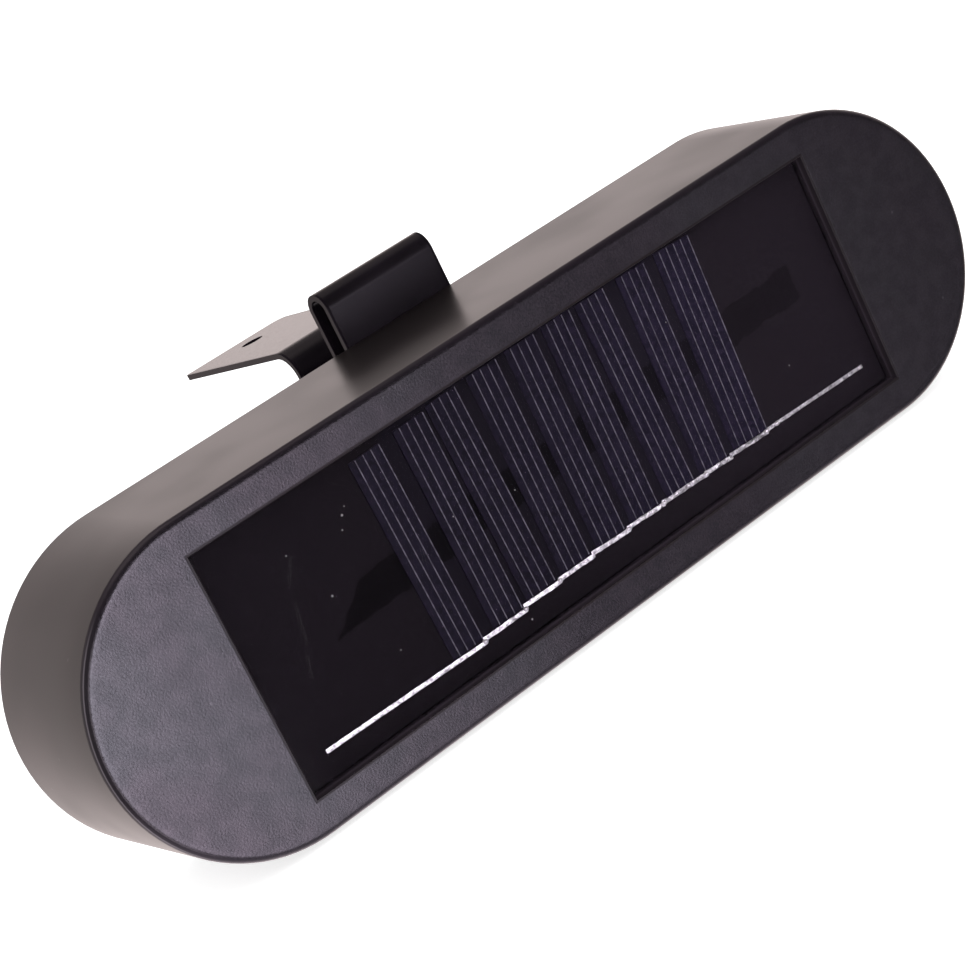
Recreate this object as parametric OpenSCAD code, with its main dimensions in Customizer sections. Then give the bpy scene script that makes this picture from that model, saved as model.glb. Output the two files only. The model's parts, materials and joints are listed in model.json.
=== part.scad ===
// Solar gutter light: a long round-ended case with a solar panel in its front face, a lamp in its
// underside and a bent strip on its back that hooks over a gutter's edge.
// X runs along the case, Y runs from its front to its back and Z is up.
// The origin is where the gutter's edge seats, at the top of the hook's slot.

/* [Case] */
// Length of the front face
face_len = 205.7; // [196:0.1:230]
// Height of the front face, which is also the width across its round ends
face_h = 60.8; // [59:0.1:66]
// Depth of the case from its front face to its back
case_depth = 34.7; // [34:0.1:42]
// How far each side spreads between the front and the back
side_draft = 0.55; // [0.2:0.05:1.2]
// Radius of the front edge
edge_r = 1.4; // [0.6:0.1:2]
// Thickness of the side walls
wall = 2.4; // [2:0.1:2.8]
// Thickness of the front face round the panel
face_t = 2.2; // [1.8:0.1:3]
// Thickness of the back cover
cover_t = 3; // [2.6:0.1:3.6]
// Width of the case's rim round the back cover
rim_lip = 1.1; // [0.8:0.1:1.3]
// Gap round the back cover
cover_gap = 0.15; // [0.1:0.05:0.25]
// Thickness of the pressed cover seal
cover_seal_t = 1; // [0.8:0.1:1.4]

/* [Solar panel] */
// Length of the panel's opening
window_len = 145.6; // [138:0.2:147]
// Height of the panel's opening
window_h = 47.2; // [44:0.2:48]
// Depth of the panel's surface below the front face
panel_recess = 1.5; // [0.8:0.1:2]
// Gap round the panel
panel_gap = 0.2; // [0.1:0.05:0.4]
// Thickness of the panel's clear cover
panel_cover_t = 1.2; // [0.8:0.1:1.6]
// Thickness of the panel's black backing board
panel_board_t = 1.2; // [0.8:0.1:1.6]
// Thickness of the glue under the panel
panel_glue_t = 0.4; // [0.2:0.1:0.6]
// Thickness of the pocket's floor and walls
pocket_t = 1.6; // [1.2:0.1:1.8]
// Width of one solar cell
cell_w = 7; // [6.4:0.1:7.4]
// Bare board above the cells
cell_top_margin = 0.7; // [0.7:0.1:3]
// Bare board below the cells, where the ribbon runs
cell_base_margin = 6.2; // [4:0.1:8]
// Mean distance from one cell to the next
cell_pitch = 9.05; // [8.9:0.05:9.4]
// Thickness of a cell
cell_t = 0.2; // [0.15:0.01:0.24]
// Distance between the printed lines on a cell
line_pitch = 1.8; // [1.7:0.01:1.9]
// Width of a printed line
line_w = 0.18; // [0.12:0.01:0.3]
// Width of the silver ribbon
ribbon_w = 0.9; // [0.7:0.1:1.2]

/* [Lamp] */
// Length of the lamp's lens
lens_len = 110; // [100:1:112]
// Width of the lamp's lens
lens_w = 17; // [16:0.2:17.4]
// How far the lens stands out below the case
lens_stand = 0.2; // [0.1:0.1:1]
// Wall of the lens
lens_t = 1.6; // [1.2:0.1:2]
// Width of the flange that holds the lens in
lens_flange = 3; // [2:0.1:3.2]
// Thickness of the pressed lens seal
lens_seal_t = 0.8; // [0.6:0.1:1.2]
// Height of the reflector
reflector_h = 8; // [6:0.1:9]
// Number of lamp chips
chip_count = 6; // [4:1:6]
// Distance between lamp chips
chip_pitch = 18; // [16:0.5:18]

/* [Battery and board] */
// Diameter of the battery cell
battery_d = 14.2; // [13.8:0.1:14.5]
// Length of the battery cell
battery_len = 49; // [48:0.1:50]
// Wall of the battery holder
holder_t = 1.4; // [1.2:0.1:1.8]
// Length of the control board
board_len = 50; // [46:1:52]
// Height of the control board
board_h = 26; // [24:0.5:27]
// Thickness of the circuit boards
board_t = 1.6; // [1:0.1:1.6]
// Diameter of a lead over its insulation
lead_d = 1.3; // [1:0.1:1.5]

/* [Switch] */
// Travel of the switch from off to on
switch_travel = 3; // [2:0.5:4]
// Width of the switch's knob
knob_w = 5; // [4:0.5:6]
// Height of the switch's knob
knob_h = 4.4; // [4:0.2:5]
// Gap round the knob in its slot
knob_gap = 0.35; // [0.3:0.05:0.5]
// Depth of the dish round the knob
dish_depth = 1.2; // [0.8:0.1:1.4]

/* [Bracket] */
// Width of the bracket's strip
strip_w = 25.4; // [20:0.2:30]
// Thickness of the strip
strip_t = 1.2; // [1:0.1:1.5]
// Clear width of the hook's slot, where the gutter's edge goes
slot_gap = 4.4; // [4.2:0.1:6]
// How far the hook rises above the back of the case
hook_rise = 11.25; // [8:0.05:14]
// Height from the hook's top to the underside of the trough
trough_drop = 35.2; // [30:0.2:38]
// Clear width of the trough behind the hook
trough_gap = 16.25; // [12:0.25:20]
// Inner radius of the trough's two bends
trough_r = 3; // [2:0.1:4]
// How far the flange's crest lies below the hook's top
flange_drop = 11; // [6:0.1:14]
// Length of the flat of the flange
flange_len = 43.4; // [36:0.1:60]
// Slope of the flange down towards its tip
flange_tilt = 4; // [0:0.5:10]
// Inner radius of the bend between the upright and the flange
fold_r = 4.3; // [3:0.1:5]
// Radius of the flange's rounded corner
corner_r = 3; // [1:0.1:5]
// Radius of the flange's other corner
small_corner_r = 0.8; // [0.4:0.1:3]
// Diameter of the screw hole in the flange
hole_d = 4.8; // [4:0.1:6]
// Distance from the flange's tip to the middle of the hole
hole_back = 9.4; // [5:0.1:12]

/* [Screws] */
// Diameter of the case screws
case_screw_d = 2.6; // [2.4:0.1:3]
// Diameter of the bracket screws
bracket_screw_d = 3.5; // [3:0.1:4]
// Distance between the two bracket screws
bracket_screw_pitch = 11; // [9:0.5:12]

/* [Hidden] */
$fn = 64;
cut = 1;

// Planes of the case, from the hook outwards
back_y = -(slot_gap / 2 + strip_t);
front_y = back_y - case_depth;
back_r = face_h / 2 + side_draft;
axis_z = strip_t - hook_rise - back_r;
end_x = (face_len - face_h) / 2;
draft_angle = atan(side_draft / case_depth);
cover_y = back_y - cover_t;
seat_y = cover_y - cover_seal_t;
rim_r = back_r - rim_lip;

// Planes of the panel, from its surface inwards
panel_y = front_y + panel_recess;
panel_board_y = panel_y + panel_cover_t;
glue_y = panel_board_y + panel_board_t;
pocket_y = glue_y + panel_glue_t;
tray_y = pocket_y + pocket_t;
panel_len = window_len - 2 * panel_gap;
panel_h = window_h - 2 * panel_gap;

// Cells and their lines: each cell is laid by hand, a little aside, low and turned
line_counts = [4, 4, 4, 4, 4, 4, 4, 4, 5];
cell_count = len(line_counts);
cell_nudges = [0.1, 1, 0, 0.1, 0, -0.3, -0.6, -0.2, 0];
cell_drops = [1.4, 0.9, 0.3, 0, -0.1, -0.2, 0, 0, 0];
cell_tilts = [-1.6, -0.7, -1.5, 0.1, 0.5, 0.7, -0.5, 1.7, 2.6];
line_t = 0.06;
line_margin = 0.15;
cell_cavity = 0.4;
cavity_margin = 0.3;
cell_h = panel_h - cell_top_margin - cell_base_margin;
cell_left_margin = cell_w - 3 * line_pitch - line_margin;
cell_mid_z = axis_z + (cell_base_margin - cell_top_margin) / 2;

// Ribbon: one tab to the end of each cell and a last one beyond, each with its own slope
tab_rises = [0.8, 0, 0, 0, 0.2, 0.2, 0.3, 0.2, 0.3, 0.4];
ribbon_t = 0.2;
ribbon_gap = 0.3;
ribbon_lap = 0.4;
ribbon_left_x = -panel_len / 2 + 6.3;
ribbon_right_x = panel_len / 2 - 4.3;
ribbon_right_drop = 0.5;

// Glue under the panel
glue_margin = 2;
glue_band = 10;

// Lamp, from the lens upwards
lens_clear = 0.4;
lens_seat_t = 0.8;
lamp_y = tray_y + lens_w / 2 + lens_flange + lens_clear;
lens_z = axis_z - back_r - lens_stand;
lens_seat_z = axis_z - face_h / 2 + wall + lens_seat_t;
flange_z = lens_seat_z + lens_seal_t;
reflector_z = flange_z + lens_t;
lamp_board_z = reflector_z + reflector_h;
lens_gap = 0.2;
lens_edge_r = 1;
lens_centre_x = (lens_len - lens_w) / 2;
seat_margin = 0.6;
post_reach = 10;
post_x = lens_len / 2 + post_reach;
post_r = 3.2;
lamp_board_w = 13;
lamp_board_margin = 4;
lamp_screw_len = 8;
lamp_pilot = 7;
mouth_r = 7;
throat_r = 3.7;
chip_size = 5;
chip_t = 1.4;
chip_dish_r = 1.9;
chip_dish = 0.6;
phosphor_t = 0.5;
phosphor_gap = 0.05;

// Case screws and their bosses
boss_r = 3.2;
screw_fit = 0.05;
hole_fit = 0.2;
head_fit = 0.3;
case_screw_len = 10;
head_h = 1.6;
cross_w = 0.8;
cross_depth = 0.9;
cross_reach = 0.6;
case_head_r = 2.7;
corner_boss_in = 4.1;
corner_boss_out = 6;
corner_boss = [end_x + corner_boss_out, face_h / 2 - wall - corner_boss_in];
top_boss = [40, face_h / 2 - wall - boss_r];
case_bosses = [
    [corner_boss.x, corner_boss.y], [-corner_boss.x, corner_boss.y],
    [corner_boss.x, -corner_boss.y], [-corner_boss.x, -corner_boss.y],
    [top_boss.x, top_boss.y], [-top_boss.x, top_boss.y]
];

// Control board and switch, measured from the back cover inwards
switch_seal_t = 0.8;
switch_body_h = 4.5;
board_back_y = cover_y - switch_seal_t - switch_body_h;
board_front_y = board_back_y - board_t;
board_in = 30;
board_x = end_x - board_in;
board_rise = 3;
board_z = axis_z + board_rise;
board_screw_d = 2;
board_screw_len = 7;
board_head_r = 1.9;
board_boss_r = 2.6;
board_screw_in = 3.4;
board_pilot_y = cover_y + 0.8;
board_screw_x = board_len / 2 - board_screw_in;
board_screw_z = board_h / 2 - board_screw_in;
switch_x = board_x + 2;
switch_z = board_z;
switch_body_w = 14.5;
switch_body_z = 7;
lever_w = 2.4;
lever_h = 2.6;
lever_gap = 0.3;
lever_depth = 2.2;
lever_reach = 2.2;
knob_x = switch_x - switch_travel / 2;
knob_sink = 0.2;
knob_groove = 0.4;
dish_margin = 3;
seal_margin = 0.8;
socket_w = 7.5;
socket_h = 5.6;
socket_t = 5;
socket_in = 9.5;
socket_pitch = 6.6;
socket_x = board_x - board_len / 2 + socket_in;
socket_top = 5.6;
socket_zs = [for (i = [0:2]) board_z + socket_top - i * socket_pitch];
chip_places = [[4, 6.5], [4, -6.5]];
coil_place = [13, -3];
capacitor_place = [13, 6.5];
socket_front_y = board_front_y - socket_t;

// Battery and its holder
holder_pad_t = 1;
contact_t = 0.4;
spring_len = 5.5;
spring_wire = 0.7;
contact_w = 10;
contact_h = 11;
battery_gap = 0.2;
battery_bare = 1;
battery_lift = 0.1;
holder_inner = battery_len + spring_len + 2 * contact_t;
holder_len = holder_inner + 2 * holder_t;
holder_w = battery_d + 2 * (holder_t + battery_gap);
holder_depth = battery_d + holder_t - battery_bare;
holder_clear = 1.5;
holder_x = holder_len / 2 - end_x;
holder_end_x = holder_x + holder_len / 2;
holder_y = tray_y + holder_pad_t;
holder_z = axis_z + top_boss.y - boss_r - holder_clear - holder_w / 2;
battery_y = holder_y + holder_t + battery_d / 2 + battery_lift;
contact_plus_x = holder_x + holder_inner / 2;
contact_minus_x = holder_x - holder_inner / 2;
nub_len = 1.2;
nub_d = 5.5;
spring_turns = 4;
spring_base_r = 4.6;
spring_tip_r = 2.6;

// Leads: where they start, and how far their curves reach from each end
panel_lead_in = 12;
panel_lead_x = board_x - panel_lead_in;
panel_lead_z = axis_z;
panel_lead_hole_r = 3;
lead_aside = 1;
panel_lead_reach = 10;
battery_lead_bend = 0.6;
battery_lead_reach = battery_lead_bend * (socket_x - holder_end_x);
lamp_lead_reach = 5;
socket_reaches = [7, 8, 6];

// Bracket, in the YZ plane
hook_z = -slot_gap / 2;
trough_z = strip_t - trough_drop;
trough_bend_z = trough_z + strip_t + trough_r;
wall_y = slot_gap / 2 + strip_t + trough_gap;
fold_y = wall_y + strip_t + fold_r;
fold_z = strip_t - flange_drop - strip_t - fold_r;
leg_below_axis = 16.5;
leg_z = axis_z - leg_below_axis;
bracket_screw_margin = 5.5;
bracket_screw_z = leg_z + bracket_screw_margin;
bracket_boss_r = 3.8;
bracket_boss_len = 6;
bracket_screw_len = 9;
bracket_head_r = 3.2;

// A round-ended solid along X: the child is half its outline, with x outwards and y upwards
module round_ended(centre_x) {
    for (side = [0, 1])
        mirror([side, 0, 0])
            translate([centre_x, 0, 0])
                rotate([0, 0, -90])
                    rotate_extrude(angle = 180)
                        children();
    rotate([90, 0, 90])
        linear_extrude(2 * centre_x, center = true) {
            children();
            mirror([1, 0])
                children();
        }
}

// A round-ended block with upright sides
module round_ended_block(centre_x, r, z0, z1) {
    round_ended(centre_x)
        translate([0, z0])
            square([r, z1 - z0]);
}

// Turns a solid that rises along Z so that it runs backwards along Y, about the case's axis
module along_case() {
    translate([0, 0, axis_z])
        rotate([-90, 0, 0])
            children();
}

// Half the outline of the case's outside: slanted side and rounded front edge
module case_outline() {
    edge_y = front_y + edge_r;
    edge_x = face_h / 2 + edge_r * tan(draft_angle) - edge_r / cos(draft_angle);
    polygon([
        [0, front_y],
        [edge_x, front_y],
        [edge_x + edge_r * cos(draft_angle), edge_y - edge_r * sin(draft_angle)],
        [back_r, back_y],
        [0, back_y]
    ]);
    translate([edge_x, edge_y])
        circle(edge_r);
}

// Half the outline of the hollow inside the case
module hollow_outline() {
    hollow_y = front_y + face_t;
    hollow_r = face_h / 2 + face_t * tan(draft_angle) - wall;
    polygon([
        [0, hollow_y],
        [hollow_r, hollow_y],
        [back_r - wall, back_y + cut],
        [0, back_y + cut]
    ]);
}

// A cylinder that runs backwards from one Y to another
module post_y(x, z, r, y0, y1) {
    translate([x, y0, z])
        rotate([-90, 0, 0])
            cylinder(r = r, h = y1 - y0);
}

// A block from its middle in X and Z, between two Y planes
module plate_y(x, z, w, h, y0, y1) {
    translate([x - w / 2, y0, z - h / 2])
        cube([w, y1 - y0, h]);
}

// A screw that points along -Z with its head's underside at the origin
module screw(d, len, head_r) {
    translate([0, 0, -len])
        cylinder(d = d, h = len + 0.01);
    difference() {
        cylinder(r = head_r, h = head_h);
        for (turn = [0, 90])
            rotate([0, 0, turn])
                translate([-head_r * cross_reach, -cross_w / 2, head_h - cross_depth])
                    cube([2 * head_r * cross_reach, cross_w, cross_depth + cut]);
    }
}

// A round tube of eight sides through a list of points
module tube(points, d) {
    sides = 8;
    last = len(points) - 1;
    function unit(v) = v / norm(v);
    function heading(i) = unit(points[min(i + 1, last)] - points[max(i - 1, 0)]);
    function side_of(v) = unit(cross(v, abs(v.z) < 0.9 ? [0, 0, 1] : [1, 0, 0]));
    function ring(i) = let (h = heading(i), u = side_of(h), w = cross(h, u))
        [for (k = [0:sides - 1]) points[i] + d / 2 * (cos(k * 45) * u + sin(k * 45) * w)];
    polyhedron(
        points = [for (i = [0:last]) each ring(i)],
        faces = concat(
            [[for (k = [0:sides - 1]) k]],
            [for (i = [0:last - 1], k = [0:sides - 1], half = [0, 1])
                let (a = i * sides + k, b = i * sides + (k + 1) % sides)
                half == 0 ? [a, a + sides, b] : [b, a + sides, b + sides]],
            [[for (k = [sides - 1:-1:0]) last * sides + k]]
        )
    );
}

// Points along a smooth curve from one end to the other, pulled towards two handles
function curve(a, b, c, d, steps) = [
    for (i = [0:steps])
        let (t = i / steps, u = 1 - t)
        u * u * u * a + 3 * u * u * t * b + 3 * u * t * t * c + t * t * t * d
];

// A pair of leads side by side: each leaves its two ends square, then bends across
module lead_pair(start, start_pull, stop, stop_pull, aside) {
    for (side = [-1, 1]) {
        a = start + side * aside;
        d = stop + side * aside;
        a_out = a + lead_d * start_pull / norm(start_pull);
        d_out = d + lead_d * stop_pull / norm(stop_pull);
        tube(concat([a], curve(a_out, a + start_pull, d + stop_pull, d_out, 12), [d]), lead_d);
    }
}

module lens_block(r, z0, z1) {
    translate([0, lamp_y, 0])
        round_ended_block(lens_centre_x, r, z0, z1);
}

module front_housing() {
    seat_r = lens_w / 2 + lens_flange + seat_margin;
    wall_mid_z = axis_z - face_h / 2 + wall / 2;
    color("#3a3637")
    difference() {
        union() {
            difference() {
                along_case()
                    round_ended(end_x)
                        case_outline();
                along_case()
                    round_ended(end_x)
                        hollow_outline();
            }
            plate_y(0, axis_z, window_len + 2 * pocket_t, window_h + 2 * pocket_t,
                front_y + face_t / 2, tray_y);
            for (boss = case_bosses)
                post_y(boss.x, axis_z + boss.y, boss_r, front_y + face_t / 2, cover_y);
            lens_block(seat_r, wall_mid_z, lens_seat_z);
            for (side = [-1, 1])
                translate([side * post_x, lamp_y, wall_mid_z])
                    cylinder(r = post_r, h = lamp_board_z - wall_mid_z);
        }
        along_case()
            round_ended_block(end_x, rim_r, seat_y, back_y + cut);
        plate_y(0, axis_z, window_len, window_h, front_y - cut, pocket_y);
        post_y(panel_lead_x, panel_lead_z, panel_lead_hole_r, pocket_y - cut, tray_y + cut);
        lens_block(lens_w / 2 + lens_gap, lens_z - cut, lens_seat_z + cut);
        for (boss = case_bosses)
            post_y(boss.x, axis_z + boss.y, case_screw_d / 2 + screw_fit,
                cover_y - case_screw_len, cover_y + cut);
        for (side = [-1, 1])
            translate([side * post_x, lamp_y, lamp_board_z - lamp_pilot])
                cylinder(d = board_screw_d + 2 * screw_fit, h = lamp_pilot + cut);
    }
}

module back_cover() {
    slot_w = knob_w + switch_travel + 2 * knob_gap;
    slot_h = knob_h + 2 * knob_gap;
    color("#353132")
    difference() {
        union() {
            along_case()
                round_ended_block(end_x, rim_r - cover_gap, cover_y, back_y);
            for (side = [0, 1])
                post_y(0, bracket_screw_z + side * bracket_screw_pitch, bracket_boss_r,
                    cover_y - bracket_boss_len, cover_y + cover_t / 2);
            for (sx = [-1, 1], sz = [-1, 1])
                post_y(board_x + sx * board_screw_x, board_z + sz * board_screw_z, board_boss_r,
                    board_back_y, cover_y + cover_t / 2);
        }
        for (side = [0, 1])
            post_y(0, bracket_screw_z + side * bracket_screw_pitch,
                bracket_screw_d / 2 + screw_fit, back_y - bracket_screw_len, back_y + cut);
        for (sx = [-1, 1], sz = [-1, 1])
            post_y(board_x + sx * board_screw_x, board_z + sz * board_screw_z,
                board_screw_d / 2 + screw_fit, board_back_y - cut, board_pilot_y);
        for (boss = case_bosses) {
            post_y(boss.x, axis_z + boss.y, case_screw_d / 2 + hole_fit, cover_y - cut,
                back_y + cut);
            post_y(boss.x, axis_z + boss.y, case_head_r + head_fit, back_y - head_h, back_y + cut);
        }
        plate_y(switch_x, switch_z, slot_w, slot_h, cover_y - cut, back_y + cut);
        plate_y(switch_x, switch_z, slot_w + 2 * dish_margin, slot_h + 2 * dish_margin,
            back_y - dish_depth, back_y + cut);
    }
}

module cover_seal() {
    color("#1b1b1b")
    along_case()
        difference() {
            round_ended_block(end_x, rim_r - cover_gap, seat_y, cover_y);
            round_ended_block(end_x, back_r - wall + 0.1, seat_y - cut, cover_y + cut);
            for (boss = case_bosses)
                translate([boss.x, -boss.y, seat_y - cut])
                    cylinder(r = boss_r + 0.1, h = cover_seal_t + 2 * cut);
        }
}

module panel_cover() {
    color("#10101880")
    difference() {
        plate_y(0, axis_z, panel_len, panel_h, panel_y, panel_board_y);
        plate_y(0, axis_z, panel_len - 2 * cavity_margin, panel_h - 2 * cavity_margin,
            panel_board_y - cell_cavity, panel_board_y + cut);
    }
}

module panel_board() {
    color("#0b0a0d")
    plate_y(0, axis_z, panel_len, panel_h, panel_board_y, glue_y);
}

module panel_glue() {
    color("#8c8c86")
    difference() {
        plate_y(0, axis_z, panel_len - 2 * glue_margin, panel_h - 2 * glue_margin, glue_y,
            pocket_y);
        plate_y(0, axis_z, panel_len - 2 * (glue_margin + glue_band),
            panel_h - 2 * (glue_margin + glue_band), glue_y - cut, pocket_y + cut);
    }
}

// Place of a cell's first line at mid height, and the cell's width past it
function first_line_x(i) = (i - (cell_count - 1) / 2) * cell_pitch + cell_nudges[i]
    - line_pitch / 4;
function past_first_line(i) = (line_counts[i] - 1) * line_pitch + line_margin;

// Puts a piece on a cell, measured from the middle of its first line
module on_cell(i) {
    translate([first_line_x(i), panel_board_y - cell_t, cell_mid_z - cell_drops[i]])
        rotate([0, cell_tilts[i], 0])
            children();
}

module solar_cells() {
    color("#1d1b33")
    for (i = [0:cell_count - 1])
        on_cell(i)
            translate([-cell_left_margin, 0, -cell_h / 2])
                cube([cell_left_margin + past_first_line(i), cell_t, cell_h]);
}

module cell_lines() {
    color("#a9a6b8")
    for (i = [0:cell_count - 1], k = [0:line_counts[i] - 1])
        on_cell(i)
            translate([k * line_pitch - line_w / 2, -line_t, -cell_h / 2])
                cube([line_w, line_t, cell_h - line_margin]);
}

module silver_ribbon() {
    base_z = cell_mid_z - cell_h / 2 - ribbon_gap - ribbon_w / 2;
    ends = [for (i = [0:cell_count - 1])
        first_line_x(i) + past_first_line(i) - cell_h / 2 * tan(cell_tilts[i]) + ribbon_lap];
    stops = concat([ribbon_left_x], ends, [ribbon_right_x]);
    drops = concat(cell_drops, [ribbon_right_drop]);
    color("#e8e8ea")
    for (i = [0:cell_count])
        translate([0, panel_board_y, base_z - drops[i]])
            rotate([90, 0, 0])
                linear_extrude(ribbon_t)
                    polygon([
                        [stops[i] - ribbon_lap, tab_rises[i] - ribbon_w / 2],
                        [stops[i + 1], -ribbon_w / 2],
                        [stops[i + 1], ribbon_w / 2],
                        [stops[i] - ribbon_lap, tab_rises[i] + ribbon_w / 2]
                    ]);
}

module lamp_lens() {
    flat_r = lens_w / 2;
    color("#f4f4f0c0")
    translate([0, lamp_y, 0])
        difference() {
            union() {
                round_ended(lens_centre_x) {
                    translate([0, lens_z])
                        square([flat_r - lens_edge_r, reflector_z - lens_z]);
                    translate([0, lens_z + lens_edge_r])
                        square([flat_r, reflector_z - lens_z - lens_edge_r]);
                    translate([flat_r - lens_edge_r, lens_z + lens_edge_r])
                        circle(lens_edge_r);
                }
                round_ended_block(lens_centre_x, flat_r + lens_flange, flange_z, reflector_z);
            }
            round_ended_block(lens_centre_x, flat_r - lens_t, lens_z + lens_t, reflector_z + cut);
        }
}

module lens_seal() {
    color("#202020")
    difference() {
        lens_block(lens_w / 2 + lens_flange, lens_seat_z, flange_z);
        lens_block(lens_w / 2 + lens_gap, lens_seat_z - cut, flange_z + cut);
    }
}

// Middles of the lamp's chips
function chip_x(i) = (i - (chip_count - 1) / 2) * chip_pitch;

module reflector() {
    color("#f2f2f2")
    difference() {
        lens_block(lens_w / 2, reflector_z, lamp_board_z);
        for (i = [0:chip_count - 1])
            translate([chip_x(i), lamp_y, reflector_z])
                cylinder(r1 = mouth_r, r2 = throat_r, h = reflector_h);
    }
}

module lamp_board() {
    length = 2 * (post_x + lamp_board_margin);
    color("#e9ebe4")
    difference() {
        translate([-length / 2, lamp_y - lamp_board_w / 2, lamp_board_z])
            cube([length, lamp_board_w, board_t]);
        for (side = [-1, 1])
            translate([side * post_x, lamp_y, lamp_board_z - cut])
                cylinder(d = board_screw_d + 2 * hole_fit, h = board_t + 2 * cut);
    }
}

module lamp_chips() {
    color("#f6f5ee")
    for (i = [0:chip_count - 1])
        difference() {
            translate([chip_x(i) - chip_size / 2, lamp_y - chip_size / 2, lamp_board_z - chip_t])
                cube([chip_size, chip_size, chip_t]);
            translate([chip_x(i), lamp_y, lamp_board_z - chip_t - cut])
                cylinder(r = chip_dish_r, h = chip_dish + cut);
        }
}

module chip_phosphor() {
    color("#e8c648")
    for (i = [0:chip_count - 1])
        translate([chip_x(i), lamp_y, lamp_board_z - chip_t + chip_dish - phosphor_t])
            cylinder(r = chip_dish_r - phosphor_gap, h = phosphor_t);
}

module lamp_screws() {
    color("#b8b8bc")
    for (side = [-1, 1])
        translate([side * post_x, lamp_y, lamp_board_z + board_t])
            screw(board_screw_d, lamp_screw_len, board_head_r);
}

module control_board() {
    color("#23603a")
    difference() {
        plate_y(board_x, board_z, board_len, board_h, board_front_y, board_back_y);
        for (sx = [-1, 1], sz = [-1, 1])
            post_y(board_x + sx * board_screw_x, board_z + sz * board_screw_z,
                board_screw_d / 2 + hole_fit, board_front_y - cut, board_back_y + cut);
    }
}

module board_chips() {
    chip_w = 5;
    chip_h = 4;
    chip_deep = 1.5;
    color("#1c1c1e")
    for (place = chip_places)
        plate_y(board_x + place.x, board_z + place.y, chip_w, chip_h, board_front_y - chip_deep,
            board_front_y);
}

module board_coil() {
    coil_x = board_x + coil_place.x;
    coil_z = board_z + coil_place.y;
    rim_radius = 4;
    core_radius = 3;
    rim_t = 1;
    tall = 6;
    color("#3b3b40")
    union() {
        post_y(coil_x, coil_z, rim_radius, board_front_y - rim_t, board_front_y);
        post_y(coil_x, coil_z, core_radius, board_front_y - tall, board_front_y);
        post_y(coil_x, coil_z, rim_radius, board_front_y - tall, board_front_y - tall + rim_t);
    }
}

module board_capacitor() {
    radius = 3.15;
    tall = 11;
    color("#24305c")
    post_y(board_x + capacitor_place.x, board_z + capacitor_place.y, radius,
        board_front_y - tall, board_front_y);
}

module board_sockets() {
    color("#ece8dc")
    for (z = socket_zs)
        plate_y(socket_x, z, socket_w, socket_h, board_front_y - socket_t, board_front_y);
}

module board_screws() {
    color("#b8b8bc")
    for (sx = [-1, 1], sz = [-1, 1])
        translate([board_x + sx * board_screw_x, board_front_y, board_z + sz * board_screw_z])
            rotate([90, 0, 0])
                screw(board_screw_d, board_screw_len, board_head_r);
}

module switch_body() {
    slot_w = lever_w + switch_travel + 2 * lever_gap;
    color("#8f9296")
    difference() {
        plate_y(switch_x, switch_z, switch_body_w, switch_body_z, board_back_y,
            board_back_y + switch_body_h);
        plate_y(switch_x, switch_z, slot_w, lever_h + 2 * lever_gap,
            board_back_y + switch_body_h - lever_depth - lever_gap,
            board_back_y + switch_body_h + cut);
    }
}

module switch_seal() {
    outer_h = switch_body_z + 3;
    color("#2a2a2a")
    difference() {
        plate_y(switch_x, switch_z, switch_body_w, outer_h, cover_y - switch_seal_t, cover_y);
        plate_y(switch_x, switch_z, knob_w + switch_travel + 2 * seal_margin,
            lever_h + 2 * seal_margin, cover_y - switch_seal_t - cut, cover_y + cut);
    }
}

module switch_lever() {
    color("#e6e6e6")
    plate_y(knob_x, switch_z, lever_w, lever_h, board_back_y + switch_body_h - lever_depth,
        cover_y + lever_reach - switch_seal_t);
}

module switch_knob() {
    top_y = back_y - knob_sink;
    color("#1f1d1e")
    difference() {
        plate_y(knob_x, switch_z, knob_w, knob_h, cover_y + 0.1, top_y);
        plate_y(knob_x, switch_z, lever_w, lever_h, cover_y, cover_y + lever_reach - switch_seal_t);
        for (place = [-1:1])
            plate_y(knob_x + place * knob_w / 4, switch_z, knob_w / 8, knob_h + cut,
                top_y - knob_groove, top_y + cut);
    }
}

module battery_cell() {
    start_x = contact_minus_x + contact_t + spring_len;
    color("#2f6f8f")
    translate([start_x, battery_y, holder_z])
        rotate([0, 90, 0]) {
            cylinder(d = battery_d, h = battery_len - nub_len);
            cylinder(d = nub_d, h = battery_len);
        }
}

module battery_holder() {
    floor_y = holder_y + holder_t;
    open_y = holder_y + holder_depth;
    color("#222224")
    difference() {
        plate_y(holder_x, holder_z, holder_len, holder_w, holder_y, open_y);
        plate_y(holder_x, holder_z, holder_inner, battery_d + 2 * battery_gap, floor_y,
            open_y + cut);
    }
}

module holder_pad() {
    color("#d8d4c4")
    plate_y(holder_x, holder_z, holder_len * 0.8, holder_w * 0.8, tray_y, holder_y);
}

module battery_spring() {
    steps = 16;
    count = spring_turns * steps;
    run = spring_len - spring_wire;
    color("#c9c9cc")
    tube([
        for (i = [0:count])
            let (t = i / count, a = i * 360 / steps,
                 r = spring_base_r + (spring_tip_r - spring_base_r) * t)
            [contact_minus_x + contact_t + spring_wire / 2 + run * t,
             battery_y + r * cos(a), holder_z + r * sin(a)]
    ], spring_wire);
}

module battery_contacts() {
    color("#cfcfd2")
    for (x = [contact_minus_x, contact_plus_x - contact_t])
        translate([x, battery_y - contact_w / 2, holder_z - contact_h / 2])
            cube([contact_t, contact_w, contact_h]);
}

module panel_leads() {
    start = [panel_lead_x, glue_y, panel_lead_z];
    stop = [socket_x, socket_front_y, socket_zs[0]];
    color("#b02a2a")
    lead_pair(start, [0, panel_lead_reach, 0], stop, [0, -socket_reaches[0], 0],
        [lead_aside, 0, 0]);
}

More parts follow.
